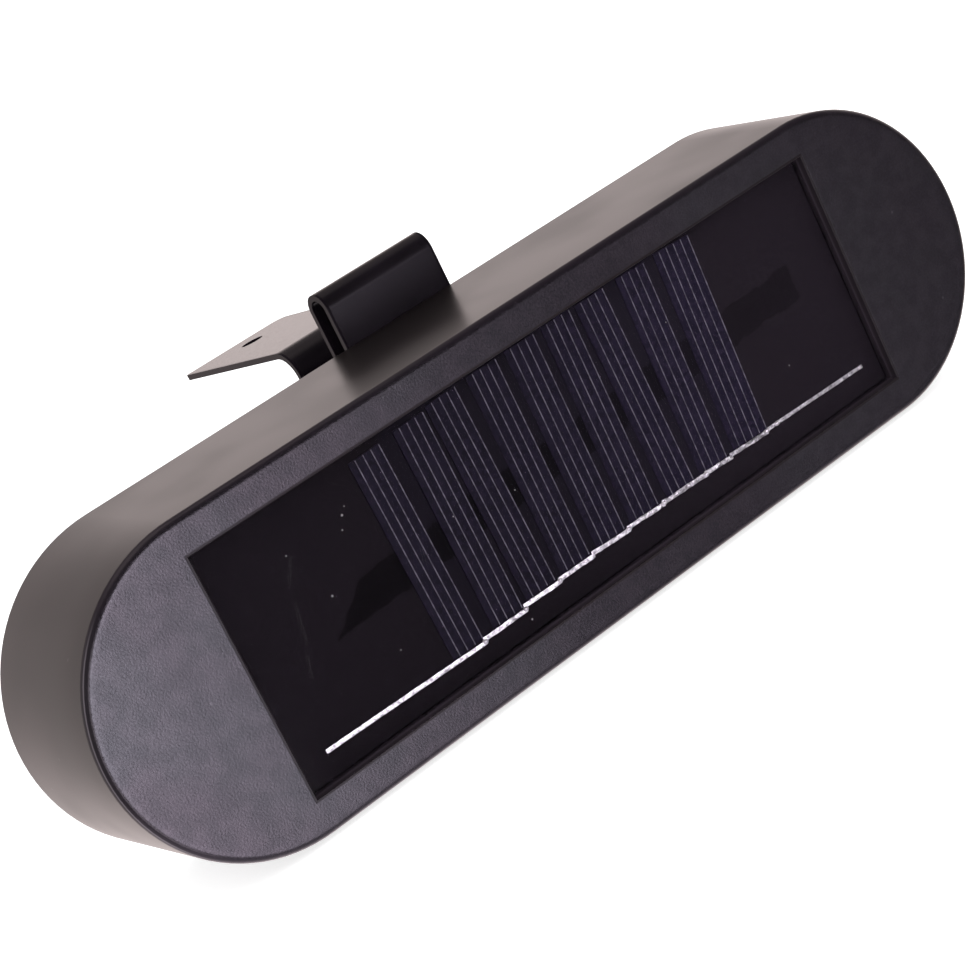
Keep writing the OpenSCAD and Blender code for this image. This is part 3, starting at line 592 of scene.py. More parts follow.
def tinned_ribbon():
    """Bright tin with wrinkles, duller grains towards its right, and clean lumps of solder."""
    material, tree, shader, where = new_finish("tinned_ribbon")
    x = axes_of(tree, where)["X"]
    lumps = clouds(tree, where, 1100.0, roughness=0.7)
    base = mixed(tree, between(tree, lumps, 0.38, 0.55), (0.40, 0.38, 0.40), (1.0, 1.0, 1.0))

    tints, _ = crystals(tree, where, 2000.0)
    dulled = scaled(tree, base, between(tree, tints[0], 0.45, 0.6, 0.45, 1.0))
    dull = product(tree, between(tree, x, -30 * MM, 30 * MM, 0.25, 1.0),
                   between(tree, x, 44 * MM, 48 * MM, 1.0, 0.3))
    base = scaled(tree, mixed(tree, dull, base, dulled), to_right(tree, x, 1.0, 0.76))

    solder = 0.0
    for place_x, place_z, size in BLOBS:
        solder = maths(tree, "MAXIMUM", solder,
                       spot(tree, where, place_x, place_z, 1.5 * size, BOARD_Y - 0.2 * MM))

    # The bump also leans the surface a little towards the left
    slope = product(tree, x, 800.0)
    rough = product(tree, lumps, between(tree, x, 42 * MM, 47 * MM, 1.0, 0.35))
    plug(tree, shader, {
        "Base Color": mixed(tree, solder, base, (1.0, 0.98, 1.0)),
        "Metallic": 0.8,
        "Roughness": between(tree, lumps, 0.3, 0.7, 0.38, 0.26),
        "Normal": bumped(tree, maths(tree, "ADD", rough, slope), 0.00009),
    })
    return material


def frosted_lens():
    """Frosted clear plastic over the lamps."""
    material, tree, shader, where = new_finish("frosted_lens")
    pits = moulded_grain(tree, where, 1600.0)
    plug(tree, shader, {
        "Base Color": (0.93, 0.93, 0.91, 1),
        "Roughness": level(tree, pits["Shade"], 0.38, 0.5),
        "IOR": 1.49,
        "Transmission Weight": 0.85,
        "Normal": bumped(tree, pits["Height"], 0.00003, 0.6),
    })
    return material


PLAIN_FINISHES = {
    "cover_plastic": dict(colour=(0.016, 0.0135, 0.0145), roughness=0.42, grain=2000.0, dust=0.04),
    "seal_rubber": dict(colour=(0.012, 0.012, 0.012), roughness=0.75, grain=900.0, depth=0.00005),
    "glue": dict(colour=(0.26, 0.26, 0.24), roughness=0.45, grain=300.0, depth=0.0002),
    "white_plastic": dict(colour=(0.78, 0.78, 0.76), roughness=0.3, grain=1500.0, drift=0.05),
    "white_board": dict(colour=(0.74, 0.76, 0.70), roughness=0.4, grain=1200.0, drift=0.06),
    "phosphor": dict(colour=(0.80, 0.55, 0.07), roughness=0.6, grain=2500.0, drift=0.15),
    "zinc_screw": dict(colour=(0.62, 0.62, 0.64), roughness=0.3, metallic=1.0, drift=0.1),
    "green_board": dict(colour=(0.016, 0.115, 0.042), roughness=0.35, grain=1400.0, drift=0.2),
    "chip_black": dict(colour=(0.011, 0.011, 0.012), roughness=0.55, grain=3000.0),
    "ferrite": dict(colour=(0.042, 0.042, 0.048), roughness=0.6, grain=1500.0, depth=0.00004),
    "capacitor_sleeve": dict(colour=(0.016, 0.028, 0.105), roughness=0.3, grain=800.0),
    "socket_plastic": dict(colour=(0.74, 0.71, 0.62), roughness=0.45, grain=1800.0, drift=0.06),
    "switch_steel": dict(colour=(0.50, 0.51, 0.53), roughness=0.35, metallic=1.0, drift=0.12),
    "knob_plastic": dict(colour=(0.013, 0.011, 0.012), roughness=0.45, grain=2200.0),
    "battery_sleeve": dict(colour=(0.028, 0.155, 0.27), roughness=0.32, grain=500.0, drift=0.12),
    "holder_plastic": dict(colour=(0.014, 0.014, 0.016), roughness=0.5, grain=1700.0),
    "spring_steel": dict(colour=(0.60, 0.60, 0.62), roughness=0.28, metallic=1.0, drift=0.1),
    "lead_insulation": dict(colour=(0.42, 0.022, 0.022), roughness=0.45, grain=900.0, drift=0.12),
    "steel_screw": dict(colour=(0.46, 0.46, 0.48), roughness=0.32, metallic=1.0, drift=0.12),
    "black_screw": dict(colour=(0.040, 0.037, 0.040), roughness=0.4, metallic=0.6, drift=0.2),
}
OWN_FINISHES = {
    "case_plastic": case_plastic, "coated_steel": coated_steel, "panel_resin": panel_resin,
    "panel_black": panel_black, "silicon": silicon, "silver_print": silver_print,
    "tinned_ribbon": tinned_ribbon, "frosted_lens": frosted_lens,
}
made_finishes = {}


def finish(slot):
    """The finish of one of the record's material slots, made once."""
    if slot not in made_finishes:
        own = OWN_FINISHES.get(slot)
        made_finishes[slot] = own() if own else moulded(slot, **PLAIN_FINISHES[slot])
    return made_finishes[slot]


# Mesh building


def only(kind, items):
    return [item for item in items if isinstance(item, kind)]


def chain(bm, points):
    """A row of joined vertices."""
    verts = [bm.verts.new(point) for point in points]
    return [bm.edges.new(pair) for pair in zip(verts, verts[1:])]


def verts_of(edges):
    """The edges' vertices, each once and in order."""
    return list(dict.fromkeys(vert for edge in edges for vert in edge.verts))


def drawn(bm, edges, offset):
    """Extrudes edges by an offset and gives the new edges."""
    made = bmesh.ops.extrude_edge_only(bm, edges=edges)["geom"]
    verts = only(bmesh.types.BMVert, made)
    bmesh.ops.translate(bm, verts=verts, vec=offset)
    return [edge for edge in only(bmesh.types.BMEdge, made) if all(vert in verts for vert in edge.verts)]


def turned(bm, edges, centre, axis, angle, steps):
    """Spins edges about an axis and gives the last ones."""
    made = bmesh.ops.spin(bm, geom=verts_of(edges) + list(edges), cent=centre, axis=axis,
                          angle=angle, steps=steps, use_merge=False)["geom_last"]
    return only(bmesh.types.BMEdge, made)


def closed_up(bm):
    """Merges doubles and turns the faces outwards."""
    bmesh.ops.remove_doubles(bm, verts=bm.verts, dist=NEAR)
    bmesh.ops.recalc_face_normals(bm, faces=bm.faces)


def round_ended(bm, half_section, centre_x, centre_y=None, axis="Y", steps=48):
    """Carries a half section right round a round-ended outline that is long in X."""
    if axis == "Y":
        centre, turn, angle = Vector((centre_x, 0, AXIS_Z)), (0, 1, 0), math.pi
    else:
        centre, turn, angle = Vector((centre_x, centre_y, 0)), (0, 0, 1), -math.pi
    edges = drawn(bm, half_section, (centre_x, 0, 0))
    edges = turned(bm, edges, centre, turn, angle, steps)
    drawn(bm, edges, (-centre_x, 0, 0))
    bmesh.ops.mirror(bm, geom=bm.verts[:] + bm.edges[:] + bm.faces[:], merge_dist=NEAR, axis="X")
    closed_up(bm)


def lamp_outline(bm, section):
    """Carries a section of (distance from the lens's axis, height) round the lens's outline."""
    points = [(0, LAMP_Y + out, z) for out, z in section]
    round_ended(bm, chain(bm, points), LENS_CENTRE_X, LAMP_Y, axis="Z", steps=LENS_STEPS)


def bevelled(bm, geom, offset, segments, affect="EDGES"):
    """Rounds edges or corners."""
    bmesh.ops.bevel(bm, geom=geom, offset=offset, offset_type="OFFSET", segments=segments,
                    profile=0.5, affect=affect, material=-1)


def rectangle(bm, length, height, y):
    """A rectangle's four edges about the panel's middle, facing along Y."""
    verts = [bm.verts.new((x * length / 2, y, AXIS_Z + z * height / 2))
             for x, z in ((-1, -1), (1, -1), (1, 1), (-1, 1))]
    return [bm.edges.new((verts[i], verts[(i + 1) % 4])) for i in range(4)]


def edges_at(bm, y, faces):
    """Edges on a plane of constant Y that a number of faces share."""
    return [edge for edge in bm.edges if len(edge.link_faces) == faces
            and all(abs(vert.co.y - y) < NEAR for vert in edge.verts)]


def rims_at(bm, y):
    """Edges where a plane of constant Y meets the sides."""
    bm.normal_update()
    return [edge for edge in edges_at(bm, y, 2)
            if any(abs(face.normal.y) < 0.5 for face in edge.link_faces)]


def fill(bm, edges):
    bmesh.ops.triangle_fill(bm, use_beauty=True, use_dissolve=False, edges=edges)


def circle(bm, radius, segments, place):
    """The edges of a hole."""
    verts = bmesh.ops.create_circle(bm, cap_ends=False, segments=segments, radius=radius,
                                    matrix=place)["verts"]
    return [edge for edge in bm.edges if all(vert in verts for vert in edge.verts)]


def spun(bm, points, centre, axis="Y", steps=32):
    """A closed turned shape from a half section of (radius, distance along the axis)."""
    if axis == "Y":
        section = [(centre[0] + r, along_axis, centre[1]) for r, along_axis in points]
        middle, turn = (centre[0], 0, centre[1]), (0, 1, 0)
    else:
        section = [(centre[0] + r, centre[1], along_axis) for r, along_axis in points]
        middle, turn = (centre[0], centre[1], 0), (0, 0, 1)
    before = set(bm.verts)
    edges = chain(bm, section)
    bmesh.ops.spin(bm, geom=verts_of(edges) + edges, cent=middle, axis=turn, angle=2 * math.pi,
                   steps=steps, use_merge=True)
    made = [vert for vert in bm.verts if vert not in before]
    bmesh.ops.remove_doubles(bm, verts=made, dist=NEAR)


def rod_section(radius, start, end):
    """The half section of a solid round form."""
    return [(0, start), (radius, start), (radius, end), (0, end)]


def ring_section(inner, outer, start, end):
    """The section of one side of a ring."""
    return [(inner, start), (outer, start), (outer, end), (inner, end), (inner, start)]


def rod(bm, centre, radius, start, end):
    """A round rod along Y."""
    spun(bm, rod_section(radius, start, end), centre)


def tube(bm, centre, inner, outer, start, end, axis="Y"):
    """A short thick-walled tube, such as a screw boss."""
    spun(bm, ring_section(inner, outer, start, end), centre, axis, steps=24)


def block(bm, low, high, bevel=0.0, segments=2):
    """A block between two corners, its edges bevelled."""
    middle = (Vector(low) + Vector(high)) / 2
    size = Vector(high) - Vector(low)
    made = bmesh.ops.create_cube(bm, size=1, matrix=Matrix.Translation(middle)
                                 @ Matrix.Diagonal((*size, 1)))["verts"]
    if bevel:
        edges = list(dict.fromkeys(edge for vert in made for edge in vert.link_edges))
        bevelled(bm, edges, bevel, segments)


def shade(bm, sharp=35.0):
    """Smooth faces, with sharp edges where the surface turns by more than an angle."""
    for face in bm.faces:
        face.smooth = True
    for edge in bm.edges:
        edge.smooth = edge.is_manifold and edge.calc_face_angle(0) < math.radians(sharp)


def mesh_from(bm, name):
    """Turns a bmesh into a mesh."""
    mesh = bpy.data.meshes.new(name)
    bm.to_mesh(mesh)
    bm.free()
    return mesh


def object_from(bm, name):
    """Turns a bmesh into an object of the scene."""
    made = bpy.data.objects.new(name, mesh_from(bm, name))
    bpy.context.scene.collection.objects.link(made)
    return made


def piece_from(bm, name, slot, node, body="light", sharp=35.0):
    """Turns a bmesh into a finished piece of the object, in the place of a node."""
    closed_up(bm)
    shade(bm, sharp)
    piece = object_from(bm, name)
    piece.data.materials.append(finish(slot))
    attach(piece, body)
    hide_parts(node)
    return piece


def firm_normals(piece):
    """Keeps the large faces evenly shaded up to their bevels."""
    piece.modifiers.new("Normals", "WEIGHTED_NORMAL").keep_sharp = True


def carve(piece, cutter, operation="DIFFERENCE"):
    """Cuts a closed bmesh out of a piece, or welds it on."""
    closed_up(cutter)
    tool = object_from(cutter, "cutter")
    cut = piece.modifiers.new("Cut", "BOOLEAN")
    cut.object, cut.operation, cut.solver = tool, operation, "EXACT"
    graph = bpy.context.evaluated_depsgraph_get()
    made = bpy.data.meshes.new_from_object(piece.evaluated_get(graph))
    piece.modifiers.remove(cut)
    piece.data = made
    bpy.data.objects.remove(tool)
    bm = bmesh.new()
    bm.from_mesh(made)
    bmesh.ops.remove_doubles(bm, verts=bm.verts, dist=3 * NEAR)
    bmesh.ops.dissolve_degenerate(bm, dist=3 * NEAR, edges=bm.edges)
    shade(bm)
    bm.to_mesh(made)
    bm.free()


def join(piece, part):
    """Adds a bmesh to a piece's mesh."""
    bmesh.ops.recalc_face_normals(part, faces=part.faces)
    shade(part)
    mesh = mesh_from(part, "part")
    bm = bmesh.new()
    bm.from_mesh(piece.data)
    bm.from_mesh(mesh)
    bm.to_mesh(piece.data)
    bm.free()


class GUTTER_OT_case_shell(Operator):
    """Adds the case: rounded front, panel opening, pocket, hollow and screw bosses"""
    bl_idname = "gutter.case_shell"
    bl_label = "Case shell"

    def execute(self, context):
        case = context.scene.gutter_case
        shell = piece_from(self.shell(case, context.scene.gutter_studio.arc_steps), "case_shell",
                           "case_plastic", "front_housing")
        clearance = 0.2 * MM
        collar_radius = LENS_RADIUS + clearance
        cut = bmesh.new()
        lamp_outline(cut, rod_section(collar_radius, FLOOR_Z - 1 * MM, LENS_SEAT_Z + 1.8 * MM))
        carve(shell, cut)
        join(shell, self.bosses(case))

        collar = bmesh.new()
        wide_radius = LENS_FLANGE_RADIUS + 0.6 * MM
        lamp_outline(collar, ring_section(collar_radius, wide_radius, COLLAR_Z, LENS_SEAT_Z))
        join(shell, collar)
        firm_normals(shell)
        return {"FINISHED"}

    def shell(self, case, steps):
        """The moulding with its opening, its pocket and its hollow back."""
        rim_radius = case.back_radius - 1.1 * MM
        points = [(case.front_radius - FRONT_WALL, FRONT_Y), (case.front_radius, FRONT_Y),
                  (case.back_radius, BACK_Y), (rim_radius, BACK_Y), (rim_radius, SEAT_Y),
                  (case.back_radius - case.wall, SEAT_Y), (case.front_radius - case.wall, HOLLOW_Y)]
        bm = bmesh.new()
        round_ended(bm, chain(bm, [(0, y, AXIS_Z + r) for r, y in points]), case.end_x, steps=steps)
        bevelled(bm, rims_at(bm, FRONT_Y), case.edge_radius, 6)
        bevelled(bm, rims_at(bm, BACK_Y), 0.3 * MM, 3)

        # The opening's outline is drawn inwards from a wider one, and back as far as the pocket
        length, height = case.window
        margin = 1.2 * MM
        outer = rectangle(bm, length + margin, height + margin, FRONT_Y)
        fill(bm, edges_at(bm, FRONT_Y, 1) + outer)
        opening = drawn(bm, outer, (0, 0, 0))
        bmesh.ops.scale(bm, verts=verts_of(opening), space=Matrix.Translation((0, 0, -AXIS_Z)),
                        vec=(length / (length + margin), 1, height / (height + margin)))
        floor = drawn(bm, opening, (0, POCKET_Y - FRONT_Y, 0))
        bmesh.ops.contextual_create(bm, geom=floor)
        corners = [edge for vert in verts_of(opening) for edge in vert.link_edges
                   if abs(edge.verts[0].co.y - edge.verts[1].co.y) > 1 * MM]
        bevelled(bm, opening + corners, 0.14 * MM, 3)

        # The pocket's walls and back, seen from inside the case
        pocket_wall = 1.6 * MM
        pocket = rectangle(bm, length + 2 * pocket_wall, height + 2 * pocket_wall, HOLLOW_Y)
        fill(bm, edges_at(bm, HOLLOW_Y, 1) + pocket)
        back = drawn(bm, pocket, (0, TRAY_Y - HOLLOW_Y, 0))
        bmesh.ops.contextual_create(bm, geom=back)
        return bm

    def bosses(self, case):
        """The bosses for the cover's screws and the posts of the lamp's board."""
        bm = bmesh.new()
        for x, z in CASE_SCREWS:
            start = TRAY_Y if abs(x) < case.end_x else HOLLOW_Y
            tube(bm, (x, z), 1.35 * MM, BOSS_RADIUS, start, COVER_Y)
        for side in (-1, 1):
            tube(bm, (side * LAMP_POST_X, LAMP_Y), BOARD_PILOT, BOSS_RADIUS, COLLAR_Z, LAMP_BOARD_Z,
                 axis="Z")
        return bm


class GUTTER_OT_bracket(Operator):
    """Adds the bent steel strip with its hook, trough, flange and holes"""
    bl_idname = "gutter.bracket"
    bl_label = "Bracket"

    def execute(self, context):
        settings = context.scene.gutter_bracket
        half_width = settings.width / 2
        leg_y = BACK_Y + settings.thickness / 2
        bm = bmesh.new()

        # The bends' centres: the hook's, the trough's two and the flange's
        hook_z, trough_z, fold_z = -2.2 * MM, -29.8 * MM, -15.3 * MM
        front_y, back_y, fold_y = 6.4 * MM, 16.65 * MM, 25.15 * MM
        slope = math.radians(4)
        start = chain(bm, [(x * half_width, leg_y, hook_z) for x in (-1, 1)])
        edges = turned(bm, start, (0, 0, hook_z), (-1, 0, 0), math.pi, 20)
        edges = drawn(bm, edges, (0, 0, trough_z - hook_z))
        edges = turned(bm, edges, (0, front_y, trough_z), (1, 0, 0), math.pi / 2, 12)
        edges = drawn(bm, edges, (0, back_y - front_y, 0))
        edges = turned(bm, edges, (0, back_y, trough_z), (1, 0, 0), math.pi / 2, 12)
        edges = drawn(bm, edges, (0, 0, fold_z - trough_z))
        edges = turned(bm, edges, (0, fold_y, fold_z), (-1, 0, 0), math.pi / 2 + slope, 16)

        # The flange: its corners are rounded before it is filled round its hole
        way = Vector((0, math.cos(slope), -math.sin(slope)))
        root = (edges[0].verts[0].co + edges[0].verts[1].co) / 2
        tip = root + way * settings.flange_length
        near = sorted(verts_of(edges), key=lambda vert: vert.co.x)
        far = [bm.verts.new(tip + Vector((x * half_width, 0, 0))) for x in (-1, 1)]
        bm.faces.new([near[0], near[1], far[1], far[0]])
        for vert, radius in ((far[0], 0.8 * MM), (far[1], 3 * MM)):
            bevelled(bm, [vert], radius * 0.99, 6, affect="VERTICES")
        sheet = max(bm.faces, key=lambda face: face.calc_center_median().y)
        rim = list(sheet.edges)
        bmesh.ops.delete(bm, geom=[sheet], context="FACES_ONLY")
        place = Matrix.Translation(tip - way * settings.hole_back) @ Matrix.Rotation(-slope, 4, "X")
        fill(bm, rim + circle(bm, settings.hole_diameter / 2, 40, place))

        # The front leg, filled round its two screw holes
        leg_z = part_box("bracket_strip")[0].z
        low = [bm.verts.new((x * half_width, leg_y, leg_z)) for x in (-1, 1)]
        top = sorted(verts_of(start), key=lambda vert: vert.co.x)
        outline = [start[0]] + [bm.edges.new(pair) for pair in
                                ((low[0], low[1]), (low[0], top[0]), (low[1], top[1]))]
        for x, z in BRACKET_SCREWS:
            place = Matrix.Translation((x, leg_y, z)) @ Matrix.Rotation(math.pi / 2, 4, "X")
            outline += circle(bm, 1.95 * MM, 32, place)
        fill(bm, outline)

        piece = piece_from(bm, "bracket", "coated_steel", "bracket_strip")
        solid = piece.modifiers.new("Sheet", "SOLIDIFY")
        solid.thickness = settings.thickness
        solid.offset = 0
        solid.use_even_offset = True
        edge = piece.modifiers.new("Edge", "BEVEL")
        edge.width = 0.56 * MM
        edge.segments = 5
        edge.limit_method = "ANGLE"
        edge.angle_limit = math.radians(50)
        firm_normals(piece)
        return {"FINISHED"}


class GUTTER_OT_rear_cover(Operator):
    """Adds the back cover with its screw wells, switch dish and bosses"""
    bl_idname = "gutter.rear_cover"
    bl_label = "Rear cover"

    def execute(self, context):
        radius = context.scene.gutter_case.back_radius - 1.25 * MM
        bm = bmesh.new()
        section = [(0, y, AXIS_Z + r) for r, y in
                   ((0, COVER_Y), (radius, COVER_Y), (radius, BACK_Y), (0, BACK_Y))]
        round_ended(bm, chain(bm, section), context.scene.gutter_case.end_x,
                    steps=context.scene.gutter_studio.arc_steps)
        bevelled(bm, rims_at(bm, BACK_Y), 0.6 * MM, 4)
        cover = piece_from(bm, "rear_cover", "cover_plastic", "back_cover")

        # Bosses inside: for the bracket's screws and for the control board's
        low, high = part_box("control_board")
        inset = 3.4 * MM
        posts = [(x, z) for x in (low.x + inset, high.x - inset) for z in (low.z + inset, high.z - inset)]
        boss_y = COVER_Y - 6 * MM
        bosses = bmesh.new()
        for place in BRACKET_SCREWS:
            rod(bosses, place, 3.8 * MM, boss_y, COVER_Y + 1 * MM)
        for place in posts:
            rod(bosses, place, 2.6 * MM, high.y, COVER_Y + 1 * MM)
        carve(cover, bosses, "UNION")

        # Holes: stepped wells for the cover's screws, plain ones for the rest, and the switch's slot
        wells = bmesh.new()
        hole, well, mouth = 1.5 * MM, 3.0 * MM, 3.3 * MM
        past_back = BACK_Y + 1 * MM
        for place in CASE_SCREWS:
            spun(wells, [(0, COVER_Y - 1 * MM), (hole, COVER_Y - 1 * MM), (hole, BACK_Y - HEAD_HEIGHT),
                         (well, BACK_Y - HEAD_HEIGHT), (well, BACK_Y - 0.25 * MM),
                         (mouth, BACK_Y + 0.05 * MM), (mouth, past_back), (0, past_back)], place)
        for place in BRACKET_SCREWS:
            rod(wells, place, 1.8 * MM, boss_y - 1 * MM, past_back)
        for place in posts:
            rod(wells, place, BOARD_PILOT, high.y - 1 * MM, COVER_Y + 0.8 * MM)
        x, z = SWITCH_MIDDLE
        half_slot = Vector((4.35, 0, 2.55)) * MM
        block(wells, (x - half_slot.x, COVER_Y - 1 * MM, z - half_slot.z),
              (x + half_slot.x, past_back, z + half_slot.z))
        carve(cover, wells)

        # The dish round the switch's slot
        half_dish = half_slot + Vector((3, 0, 3)) * MM
        dish = bmesh.new()
        block(dish, (x - half_dish.x, BACK_Y - 1.2 * MM, z - half_dish.z),
              (x + half_dish.x, BACK_Y + 3 * MM, z + half_dish.z), bevel=0.9 * MM, segments=4)
        carve(cover, dish)
        firm_normals(cover)
        return {"FINISHED"}


class GUTTER_OT_knob(Operator):
    """Adds the switch's ridged knob"""
    bl_idname = "gutter.knob"
    bl_label = "Switch knob"

    def execute(self, context):
        low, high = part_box("switch_knob")
        ridges = 4
        pitch = (high.x - low.x) / ridges
        flank, shoulder = high.y - 0.45 * MM, high.y - 0.05 * MM
        ridge = ((0.1, flank), (0.25, shoulder), (0.5, high.y), (0.75, shoulder), (0.9, flank))
        points = [(low.x, low.y)]
        points += [(low.x + (number + share) * pitch, y) for number in range(ridges) for share, y in ridge]
        points += [(high.x, low.y)]
        bm = bmesh.new()
        end = bm.faces.new([bm.verts.new((x, y, low.z)) for x, y in points])
        made = bmesh.ops.extrude_face_region(bm, geom=[end])["geom"]
        bmesh.ops.translate(bm, verts=only(bmesh.types.BMVert, made), vec=(0, 0, high.z - low.z))
        bm.normal_update()
        ends = [edge for edge in bm.edges if edge.is_manifold
                and any(abs(face.normal.z) > 0.9 for face in edge.link_faces)]
        bevelled(bm, ends, 0.2 * MM, 3)
        piece_from(bm, "knob", "knob_plastic", "switch_knob", body="switch", sharp=50)
        return {"FINISHED"}


class GUTTER_OT_lens(Operator):
    """Adds the lamp's fluted, frosted lens"""
    bl_idname = "gutter.lens"
    bl_label = "Lamp lens"

    def execute(self, context):
        low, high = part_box("lamp_lens")
        flutes, pitch, depth = 17, 0.45 * MM, 0.14 * MM
        inner, rim = 6.9 * MM, LENS_FLANGE_RADIUS
        section = [(i * pitch, low.z + (depth if i % 2 else 0)) for i in range(flutes)]
        section += [(7.75 * MM, low.z + 0.15 * MM), (8.2 * MM, low.z + 0.35 * MM),
                    (LENS_RADIUS, low.z + 1.0 * MM), (LENS_RADIUS, LENS_RIM_Z),
                    (rim - 0.3 * MM, LENS_RIM_Z), (rim, LENS_RIM_Z + 0.3 * MM), (rim, high.z),
                    (inner, high.z), (inner, low.z + 2.2 * MM),
                    (inner - 0.6 * MM, low.z + 1.6 * MM), (0, low.z + 1.6 * MM)]
        bm = bmesh.new()
        lamp_outline(bm, section)
        piece_from(bm, "lens", "frosted_lens", "lamp_lens", sharp=50)
        return {"FINISHED"}


class GUTTER_OT_solder_tabs(Operator):
    """Adds the stepped, uneven ribbon along the cells' lower ends"""
    bl_idname = "gutter.solder_tabs"
    bl_label = "Solder tabs"

    def execute(self, context):
        noise.seed_set(5)
        bm = bmesh.new()
        for number, tab in enumerate(TABS):
            self.add_tab(bm, number, *tab)
        made = bmesh.ops.extrude_face_region(bm, geom=bm.faces[:])["geom"]
        for vert in only(bmesh.types.BMVert, made):
            vert.co.y = BOARD_Y
        for lump in BLOBS:
            self.add_lump(bm, *lump)
        piece_from(bm, "solder_tabs", "tinned_ribbon", "silver_ribbon", sharp=60)
        return {"FINISHED"}

    def add_tab(self, bm, number, x0, x1, z0, z1, width):
        """A wavy strip on the board; a long one is more even."""
        uneven = 0.35 if x1 - x0 > 20 else 0.8
        steps = max(int((x1 - x0) / 0.45), 4)
        step = Vector(((x1 - x0) / steps, 0, (z1 - z0) / steps)) * MM
        edges = chain(bm, [(x0 * MM, BOARD_Y, (z0 + side * width / 2) * MM)
                           for side in (-1, -0.35, 0.35, 1)])
        verts = verts_of(edges)
        for _ in range(steps):
            edges = drawn(bm, edges, step)
            verts += verts_of(edges)
        for vert in verts:
            wave = noise.noise_vector(vert.co * 900 + Vector((number * 7, 0, 0)))
            rise = 0.11 if any(len(edge.link_faces) != 2 for edge in vert.link_edges) else 0.15
            vert.co.x += wave.x * 0.12 * MM
            vert.co.z += wave.z * uneven * 0.14 * MM
            vert.co.y -= (rise + wave.y * uneven * 0.06) * MM

    def add_lump(self, bm, x, z, size):
        """A flat, uneven lump of solder, cut off just above the board."""
        lump = bmesh.ops.create_icosphere(bm, subdivisions=2, radius=size * MM,
                                          matrix=Matrix.Translation((x * MM, 0, z * MM)))["verts"]
        bmesh.ops.scale(bm, verts=lump, vec=(1.2, 0.28 / max(size, 0.5), 1.05),
                        space=Matrix.Translation((-x * MM, 0, -z * MM)))
        for vert in lump:
            vert.co += noise.noise_vector(vert.co * 1400) * 0.07 * MM
            vert.co.y = min(BOARD_Y - 0.02 * MM + vert.co.y, BOARD_Y - 0.001 * MM)


def screws(name, slot, node, places, head, thread, head_top, tip):
    """Pan-head screws with a cross recess, all pointing forwards into the case."""
    head_low = head_top - HEAD_HEIGHT
    dome = ((0, 1), (0.45, 0.97), (0.75, 0.84), (0.93, 0.62), (1, 0.3), (1, 0))
    points = [(head * out, head_low + HEAD_HEIGHT * up) for out, up in dome] + [(thread, head_low)]
    pitch, core = 0.62 * MM, thread * 0.8
    y = head_low - 0.3 * MM
    while y > tip + 1.4 * MM:
        points += [(thread, y), (core, y - 0.25 * MM), (thread, y - 0.5 * MM)]
        y -= pitch
    points += [(thread * 0.5, tip + 0.5 * MM), (0, tip)]
    bm = bmesh.new()
    for place in places:
        spun(bm, points, place, steps=28)
    piece = piece_from(bm, name, slot, node, sharp=32)
    reach, half_slot, depth = head * 0.62, 0.36 * MM, 0.85 * MM
    for x, z in places:
        for wide, tall in ((reach, half_slot), (half_slot, reach)):
            recess = bmesh.new()
            block(recess, (x - wide, head_top - depth, z - tall),
                  (x + wide, head_top + 1 * MM, z + tall))
            carve(piece, recess)


class GUTTER_OT_screws(Operator):
    """Adds the cover's and the bracket's screws"""
    bl_idname = "gutter.screws"
    bl_label = "Screws"

    def execute(self, context):
        screws("case_screws", "steel_screw", "cover_screws", CASE_SCREWS, CASE_HEAD_RADIUS, 1.3 * MM,
               BACK_Y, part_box("cover_screws")[0].y)
        low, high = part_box("bracket_screws")
        screws("strip_screws", "black_screw", "bracket_screws", BRACKET_SCREWS, BRACKET_HEAD_RADIUS,
               1.75 * MM, high.y, low.y)
        return {"FINISHED"}


class GUTTER_OT_finishes(Operator):
    """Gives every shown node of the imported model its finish"""
    bl_idname = "gutter.finishes"
    bl_label = "Finishes"

    def execute(self, context):
        for row in frame["record"]["subparts"]:
            NODES[row["node"]].material_slots[0].material = finish(row["material_slot"])
        return {"FINISHED"}


def add_camera(scene):
    """Adds the camera and gives the direction it looks in."""
    camera = bpy.data.cameras.new("camera")
    camera.lens = CAMERA_LENS
    camera.sensor_width = 36
    camera.clip_start = 0.01
    camera.clip_end = 20
    back = CAMERA_RIGHT.cross(CAMERA_UP).normalized()
    up = back.cross(CAMERA_RIGHT).normalized()
    seat = bpy.data.objects.new("camera", camera)
    seat.matrix_world = Matrix.Translation(CAMERA_PLACE) @ Matrix(
        (CAMERA_RIGHT.normalized(), up, back)).transposed().to_4x4()
    scene.collection.objects.link(seat)
    scene.camera = seat
    return -back


def add_floor():
    """Adds white paper below the light, which keeps a faint shadow and has no back."""
    bm = bmesh.new()
    bmesh.ops.create_grid(bm, x_segments=2, y_segments=2, size=6.0,
                          matrix=Matrix.Translation((0, 0, FLOOR_Z - 0.05 * MM)))
    floor = object_from(bm, "floor")
    floor.visible_glossy = False
    material, tree, shader, _ = new_finish("floor_paper")
    behind = add(tree, "ShaderNodeNewGeometry").outputs["Backfacing"]
    seen = add(tree, "ShaderNodeLightPath").outputs["Is Camera Ray"]
    plug(tree, shader, {
        "Base Color": (0.86, 0.86, 0.86, 1),
        "Roughness": 0.9,
        "Specular IOR Level": 0.0,
        "Alpha": without(tree, behind),
        "Emission Color": (1, 1, 1, 1),
        "Emission Strength": product(tree, seen, 0.71),
    })
    floor.data.materials.append(material)


